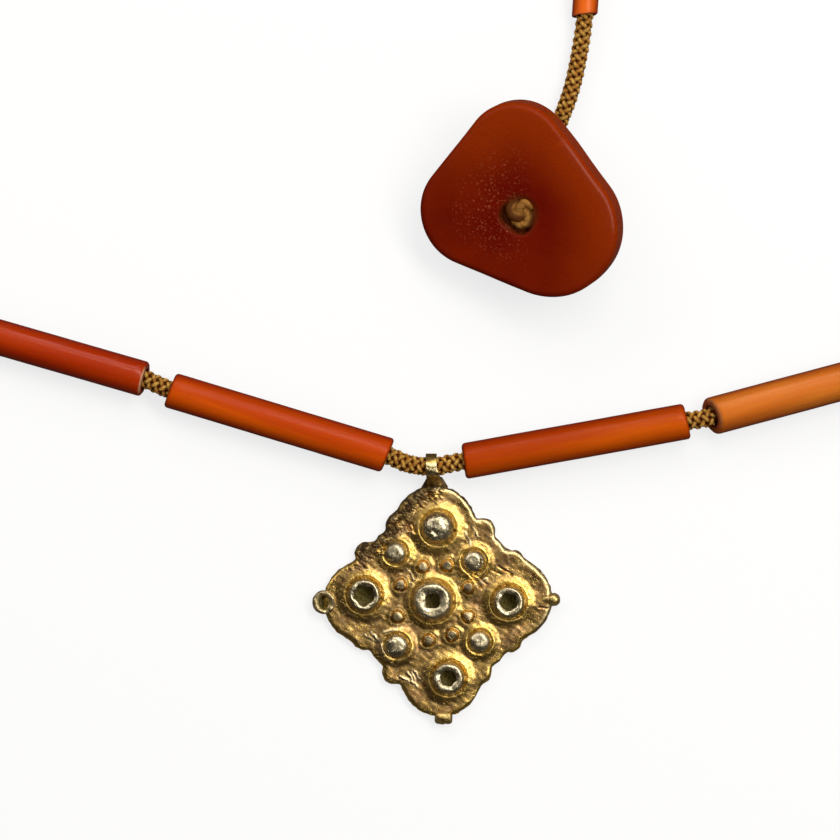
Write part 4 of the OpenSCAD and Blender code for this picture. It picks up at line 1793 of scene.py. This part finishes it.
    def face(self) -> bpy.types.Object:
        """Cuts the fine net to the outline, folds its rim down and closes the back.

        Returns:
            The plate.
        """
        corner, size = np.array([-22.0, -48.5]), np.array([46.0, 45.5])
        piece, across, along = Bench.grid(*(round(side / self.cell) for side in size))
        flat = corner + np.stack([across, along], 1) * size
        Bench.move_points(piece, np.column_stack([flat, np.zeros(len(flat))]))
        self.cut(piece, self.worn_edge, drop=True)
        for boss in self.bosses:
            if boss.hole:
                self.cut(piece, lambda x, y, at=boss: np.hypot(x - at.x, y - at.y) - self.hole_edge(
                    at, np.arctan2(y - at.y, x - at.x)), drop=False)
        points = Bench.points(piece)
        points[:, 2] = self.relief(points[:, 0], points[:, 1])[0]
        Bench.move_points(piece, points)
        Bench.edit(piece)
        bpy.ops.mesh.select_mode(type="VERT")
        bpy.ops.mesh.region_to_loop()
        for fall in (0.45, 0.4):
            bpy.ops.mesh.extrude_region_move(TRANSFORM_OT_translate={"value": (0.0, 0.0, -fall)})
        bpy.ops.transform.resize(value=(1.0, 1.0, 0.0), center_override=(0.0, 0.0, 0.0))
        bpy.ops.mesh.edge_face_add()
        Bench.leave(outward=True)
        return piece

    @staticmethod
    def spun(outline: tuple[tuple[float, float], ...], sides: int) -> bpy.types.Object:
        """Spins an outline of radius and height around Z.

        Args:
            outline: Radius and height of each corner.
            sides: Number of sides.

        Returns:
            The piece.
        """
        Bench.clear()
        bpy.ops.mesh.primitive_plane_add(size=1.0)
        piece = bpy.context.object
        Bench.edit(piece)
        bpy.ops.mesh.delete(type="VERT")
        mesh = bmesh.from_edit_mesh(piece.data)
        line = [mesh.verts.new((radius, 0.0, height)) for radius, height in outline]
        for first, second in zip(line, line[1:]):
            mesh.edges.new((first, second))
        bmesh.update_edit_mesh(piece.data)
        bpy.ops.mesh.select_all(action="SELECT")
        bpy.ops.mesh.spin(steps=sides, angle=TAU, center=(0, 0, 0), axis=(0, 0, 1))
        bpy.ops.mesh.select_all(action="SELECT")
        bpy.ops.mesh.remove_doubles(threshold=0.001)
        Bench.leave(outward=True)
        return piece

    def collet(self) -> bpy.types.Object:
        """Spins the cup at the left point, with a rolled rim and an uneven mouth.

        Returns:
            The cup, in its place.
        """
        cup = self.spun((
            (0.0, 0.0), (2.0, 0.0), (2.2, 0.25), (2.05, 0.9), (2.25, 1.4), (2.1, 1.75), (2.3, 2.1),
            (2.25, 2.4), (2.0, 2.58), (1.6, 2.55), (1.25, 2.3), (1.12, 1.5), (1.0, 0.9), (0.6, 0.75),
            (0.0, 0.8),
        ), 72)
        points = Bench.points(cup)
        reach = np.hypot(points[:, 0], points[:, 1])
        inner = smoothstep(1.75, 1.3, reach)
        points[:, 0] *= 1.0 - 0.2 * inner
        points[:, 1] *= 1.0 + 0.1 * inner
        points[:, :2] *= 1.0 - 0.02 * (1 + ripple(points[:, 0], points[:, 1], 1.6, 71))[:, None]
        points[:, 2] *= 1.0 - 0.03 * (1 + ripple(points[:, 0], points[:, 1], 1.4, 72))
        self.dress(cup, inside=smoothstep(1.6, 1.3, reach) * (points[:, 2] < 2.3), dull=0.5, bare=0.7)
        Bench.move_points(cup, points + np.array([COLLET.x, COLLET.y, 0.0]))
        return cup

    def dress(
        self, piece: bpy.types.Object, inside: np.ndarray | float = 0.0, dull: float = 0.0, bare: float = 0.3
    ) -> None:
        """Writes the wear of a joined-on piece: how far it is filled, how dull it is and how bare.

        Args:
            piece: The piece.
            inside: How far each point is filled.
            dull: How dull the piece is.
            bare: How bare of gilding it is.
        """
        x, y, z = Bench.points(piece).T
        patch = smoothstep(-0.4, 0.6, ripple(x + z, y, 2.0, 80))
        marks = (np.full(x.shape, bare), dull * patch, dull * (1 - patch), np.broadcast_to(inside, x.shape))
        Bench.write(piece, "wear", np.stack(marks, 1))

    def knob(self) -> bpy.types.Object:
        """Shapes a ball into the knob at the right point, with a neck towards the plate.

        Returns:
            The knob, in its place.
        """
        Bench.clear()
        bpy.ops.mesh.primitive_uv_sphere_add(segments=40, ring_count=24, radius=KNOB_RADIUS)
        ball = bpy.context.object
        points = Bench.points(ball)
        lump = 1.0 - 0.05 * (1 + ripple(points[:, 0] + points[:, 2], points[:, 1], 1.4, 75))
        points *= lump[:, None]
        neck = smoothstep(-0.2, -1.3, points[:, 0])
        points[:, 0] -= 1.2 * neck
        points[:, 1] *= 1.0 - 0.25 * neck
        self.dress(ball, dull=0.3)
        Bench.move_points(ball, points + np.array([*RIGHT_KNOB, KNOB_RADIUS]))
        return ball

    def foot_knob(self) -> bpy.types.Object:
        """Rounds a short bar along X at the charm's foot.

        Returns:
            The bar, in its place.
        """
        bar = Bench.cylinder(KNOB_RADIUS, FOOT_KNOB_LENGTH, 32)
        Bench.pick(bar, "EDGE", lambda corners, _: abs(corners[0].z - corners[1].z) < 0.01)
        bpy.ops.mesh.bevel(offset=0.75, segments=5, affect="EDGES")
        Bench.pick(bar, "EDGE", lambda corners, _: abs(corners[0].z - corners[1].z) > 1.0)
        bpy.ops.mesh.subdivide(number_cuts=6)
        Bench.leave()
        points = Bench.points(bar)[:, [2, 0, 1]]
        lump = 1.0 - 0.05 * (1 + ripple(points[:, 0] * 1.3, points[:, 1] + points[:, 2], 1.5, 77))
        points[:, 1:] *= lump[:, None]
        self.dress(bar, dull=0.4)
        Bench.move_points(bar, points + np.array([FOOT_KNOB_X, FOOT_KNOB_Y, KNOB_RADIUS]))
        return bar

    def bail(self) -> bpy.types.Object:
        """Bends a strip of sheet over the cord and down to the plate's edge.

        Returns:
            The strip, wider towards its feet, with rounded edges.
        """
        centre_y, centre_z = self.bail_at[1:]
        path = [(-3.75, 0.9), (-3.6, 1.5), (-3.2, 2.2), (-2.6, 3.2), (-2.1, 4.0)]
        for degrees in range(50, -181, -12):
            angle = math.radians(degrees)
            path.append((centre_y - 2.23 * math.sin(angle), centre_z + 2.23 * math.cos(angle)))
        path += [(-1.6, 1.0), (-2.7, 0.75), (-3.9, 0.6)]
        strip, across, along = Bench.grid(10, len(path) - 1)
        y, z = np.array(path)[np.rint(along * (len(path) - 1)).astype(int)].T
        down = smoothstep(0.5, -3.4, y)
        x = self.bail_at[0] - 0.45 + 0.55 * down + (2.0 * across - 1.0) * (1.06 + 0.38 * down)
        Bench.move_points(strip, np.stack([x, y, z], 1))
        Bench.modify(strip, "SOLIDIFY", thickness=0.42, offset=0.0, use_even_offset=True)
        Bench.modify(strip, "BEVEL", width=0.1, segments=2, limit_method="ANGLE")
        Bench.modify(strip, "SUBSURF", levels=1)
        x, y, z = Bench.points(strip).T
        z = z + 0.03 * ripple(x, y, 1.5, 91)
        on_top = smoothstep(-1.4, -0.6, y) * smoothstep(1.6, 0.8, y) * (z > 4.5)
        z = z - 0.22 * (x - self.bail_at[0] + 0.45) * on_top
        Bench.move_points(strip, np.stack([x, y, z], 1))
        # Painted shade and highlight: grime darkens the front leg and the strip behind the cord, and is held
        # off the edge that faces the lamp.
        lit_edge = smoothstep(0.7, 1.0, x - self.bail_at[0]) * smoothstep(-3.6, -3.0, y)
        dark = 0.5 * smoothstep(-0.8, -1.5, y) + 0.5 * smoothstep(-3.0, -3.6, y)
        dark = dark * (1.0 - 0.8 * lit_edge) + smoothstep(0.8, 1.4, y)
        bare, grimy = 0.7 * smoothstep(1.0, 0.5, y), 0.85 * np.clip(dark, 0, 1)
        marks = np.stack([bare, grimy, 0.5 * smoothstep(0.2, 1.2, y), np.zeros(y.shape)], 1)
        Bench.write(strip, "wear", marks)
        return strip

    def tab(self) -> bpy.types.Object:
        """Cuts the flared tab behind the bail from sheet, painted in grime and tarnish as the shadow on it.

        Returns:
            The tab, in its place.
        """
        outline = ((-0.9, -2.0), (1.9, -2.0), (3.1, -3.9), (2.7, -4.8), (-1.8, -4.8), (-2.1, -4.1))
        Bench.clear()
        bpy.ops.mesh.primitive_circle_add(vertices=len(outline), radius=1.0, fill_type="NGON")
        sheet = bpy.context.object
        Bench.move_points(sheet, np.array([(x, y, 0.3) for x, y in outline]))
        Bench.edit(sheet)
        bpy.ops.mesh.extrude_region_move(TRANSFORM_OT_translate={"value": (0.0, 0.0, 0.6)})
        Bench.leave(outward=True)
        Bench.modify(sheet, "BEVEL", width=0.15, segments=3, limit_method="ANGLE")
        # Painted shadow: the tab is given full grime and tarnish.
        Bench.write(sheet, "wear", np.tile([0.0, 1.0, 1.0, 0.0], (len(sheet.data.vertices), 1)))
        return sheet

    def build(self, layout: Layout, material: bpy.types.Material) -> None:
        """Joins the charm's parts and hands it over.

        Args:
            layout: Where the layout lies in the frame.
            material: The finish that it wears.
        """
        face = self.face()
        points = Bench.points(face)
        _, marks, age = self.relief(points[:, 0], points[:, 1])
        under = points[:, 2] < self.rim - 0.2
        marks[under, 0] = marks[under, 3] = 0.0
        marks[under, 2] = np.maximum(marks[under, 2], 0.35)
        Bench.write(face, "wear", marks)
        Bench.write(face, "age", age)
        charm = Bench.join(face, self.collet(), self.knob(), self.foot_knob(), self.bail(), self.tab())
        Bench.smooth(charm, 48.0)
        hand_over(charm, layout, "cross_charm", material, "worn_gold", "charm")


@dataclass(frozen=True)
class Lamp:
    """A soft light: where it hangs, how wide, high and bright it is, and its colour."""

    name: str
    at: tuple[float, float, float]
    wide: float
    high: float
    glow: float
    colour: tuple[float, float, float] = (1.0, 1.0, 1.0)


@dataclass
class Studio:
    """The pale table, the lights and the camera."""

    target: tuple[float, float] = (-2.286, 8.857)
    camera_height: float = 1000.0
    focus: float = 3.3
    frame_width: float = 160.0
    lamps: tuple[Lamp, ...] = (
        Lamp("window", (-0.3, 0.62, 0.50), 1.3, 0.26, 2.9, (1.0, 0.95, 0.93)),
        Lamp("key", (0.36, 0.27, 0.70), 0.9, 0.26, 6.0, (1.0, 0.97, 0.9)),
    )

    def floor(self) -> None:
        """Lays the pale table."""
        Bench.clear()
        bpy.ops.mesh.primitive_plane_add(size=6.0, location=(0, 0, 0))
        table = bpy.context.object
        table.name = "table"
        material = bpy.data.materials.new("table")
        material.use_nodes = True
        shade = Shade(material.node_tree)
        surface = material.node_tree.nodes["Principled BSDF"]
        seen = shade.node("ShaderNodeLightPath").outputs["Is Camera Ray"]
        tint = shade.mix(seen, (0.12, 0.1, 0.08, 1.0), (0.24, 0.24, 0.24, 1.0))
        shade.tree.links.new(tint, surface.inputs["Base Color"])
        lit = shade.mix(seen, (0.0, 0.0, 0.0, 1.0), (0.75, 0.75, 0.75, 1.0))
        shade.tree.links.new(lit, surface.inputs["Emission Color"])
        surface.inputs["Emission Strength"].default_value = 1.0
        surface.inputs["Roughness"].default_value = 0.8
        surface.inputs["Specular IOR Level"].default_value = 0.1
        table.data.materials.append(material)

    def light(self, layout: Layout) -> None:
        """Hangs the lamps and lights the room.

        Args:
            layout: Where the layout lies in the frame.
        """
        centre = Vector(layout.place(np.array([self.target[0], self.target[1], 0.0])).tolist())
        for lamp in self.lamps:
            data = bpy.data.lights.new(lamp.name, "AREA")
            data.shape = "RECTANGLE"
            data.size, data.size_y = lamp.wide, lamp.high
            data.energy = lamp.glow * lamp.wide * lamp.high * math.pi
            data.color = lamp.colour
            item = bpy.data.objects.new(lamp.name, data)
            item.location = centre + Vector(lamp.at)
            item.rotation_euler = Vector(lamp.at).to_track_quat("Z", "Y").to_euler()
            bpy.context.collection.objects.link(item)
        world = bpy.data.worlds.new("room")
        world.use_nodes = True
        shade = Shade(world.node_tree)
        back = world.node_tree.nodes["Background"]
        way = shade.node("ShaderNodeTexCoord").outputs["Generated"]
        lit = shade.node("ShaderNodeVectorMath", {0: way, 1: (0.43, 0.35, 0.83)}, operation="DOT_PRODUCT")
        level = shade.spread(lit.outputs["Value"], 0.62, 1.0)
        room = shade.mix(level, (0.04, 0.036, 0.03, 1), (0.7, 0.66, 0.6, 1))
        wide = shade.spread(lit.outputs["Value"], -0.3, 0.9)
        soft = shade.mix(wide, (0.1, 0.1, 0.1, 1), (0.52, 0.52, 0.52, 1))
        glossy = shade.node("ShaderNodeLightPath").outputs["Is Glossy Ray"]
        shade.tree.links.new(shade.mix(glossy, soft, room), back.inputs[0])
        world.cycles.sampling_method = "NONE"
        bpy.context.scene.world = world
        bpy.context.scene.view_settings.view_transform = "Standard"

    def camera(self, layout: Layout) -> None:
        """Sets the camera straight above, as far off as the photograph's framing needs.

        Args:
            layout: Where the layout lies in the frame.
        """
        data = bpy.data.cameras.new("camera")
        data.lens = data.sensor_width * self.camera_height / self.frame_width
        data.clip_start, data.clip_end = 0.01, 10.0
        item = bpy.data.objects.new("camera", data)
        at = np.array([self.target[0], self.target[1], self.focus + self.camera_height])
        item.location = layout.place(at).tolist()
        bpy.context.collection.objects.link(item)
        bpy.context.scene.camera = item

    def build(self, layout: Layout) -> None:
        """Sets the whole studio up.

        Args:
            layout: Where the layout lies in the frame.
        """
        self.floor()
        self.light(layout)
        self.camera(layout)


LEFT_LOOKS = (
    (Tone.ORANGE, EndStyle.SLANTED, EndStyle.SLOPED), (Tone.RED, EndStyle.SCOOPED, EndStyle.WORN),
    (Tone.BRICK, EndStyle.WORN, EndStyle.WORN), (Tone.ORANGE, EndStyle.WORN, EndStyle.ROUNDED),
    (Tone.RED, EndStyle.WORN, EndStyle.WORN), (Tone.AMBER, EndStyle.ROUNDED, EndStyle.WORN),
    (Tone.BRICK, EndStyle.WORN, EndStyle.WORN),
)
RIGHT_LOOKS = (
    (Tone.BRICK, EndStyle.ROUNDED, EndStyle.ROUNDED), (Tone.AMBER, EndStyle.OBLIQUE, EndStyle.WORN),
    (Tone.RED, EndStyle.WORN, EndStyle.WORN), (Tone.ORANGE, EndStyle.ROUNDED, EndStyle.WORN),
    (Tone.BRICK, EndStyle.WORN, EndStyle.WORN), (Tone.RED, EndStyle.WORN, EndStyle.ROUNDED),
)


@dataclass
class LoopBeads:
    """The beads of the loop, on both sides of the charm."""

    left: list[BeadPlace]
    right: list[BeadPlace]

    def build(self, layout: Layout) -> None:
        """Builds each bead with its tone and its two ends. The seeds count on from 1 and from 11.

        Args:
            layout: Where the layout lies in the frame.
        """
        tones: dict[Tone, bpy.types.Material] = {}
        strands = (("bead_left", self.left, LEFT_LOOKS, 0), ("bead_right", self.right, RIGHT_LOOKS, 10))
        for name, places, looks, seed in strands:
            for number, (place, (tone, near, far)) in enumerate(zip(places, looks), start=1):
                if tone not in tones:
                    tones[tone] = ResinFinish(f"resin_{tone.name.lower()}", tone).material()
                bead = TubeBead(f"{name}_{number}", place, near_end=near, far_end=far, seed=seed + number)
                bead.build(layout, tones[tone])


def tail_bead() -> TubeBead:
    """Gives the slim bead of the tail, on the surface.

    Returns:
        The bead, not yet built.
    """
    turn = math.radians(TAIL_HEADING)
    low = np.array([*TAIL_LOW, TAIL_BEAD_WIDTH / 2])
    high = low + TAIL_BEAD_LENGTH * np.array([math.cos(turn), math.sin(turn), 0.0])
    place = BeadPlace(low, high, TAIL_BEAD_WIDTH)
    return TubeBead("tail_bead", place, "bright_resin", 3.9, 0.35, EndStyle.LIPPED, EndStyle.WORN, 31)


def main() -> None:
    """Builds the necklace in order."""
    logging.basicConfig(level=logging.INFO, format="%(name)s: %(message)s")
    layout = Layout.from_frame()
    left = lay_strand(LEFT_ROWS, -1, LEFT_FROM)
    right = lay_strand(RIGHT_ROWS, 1, RIGHT_FROM)
    braid = YarnFinish().material()
    LoopCord(left, right).build(layout, braid)
    JoinKnot().build(layout, braid)
    LoopBeads(left, right).build(layout)
    slim = tail_bead()
    slim.build(layout, ResinFinish("resin_coral", Tone.CORAL).material())
    TailCord(slim.place).build(layout, braid)
    olive = YarnFinish("worn_yarn", srgb(186, 132, 62), srgb(138, 88, 32), srgb(88, 46, 10))
    TailEnd().build(layout, olive.material())
    AmberDisc().build(layout, AmberFinish().material())
    CrossCharm().build(layout, GoldFinish().material())
    Studio().build(layout)


if __name__ == "__main__":
    main()
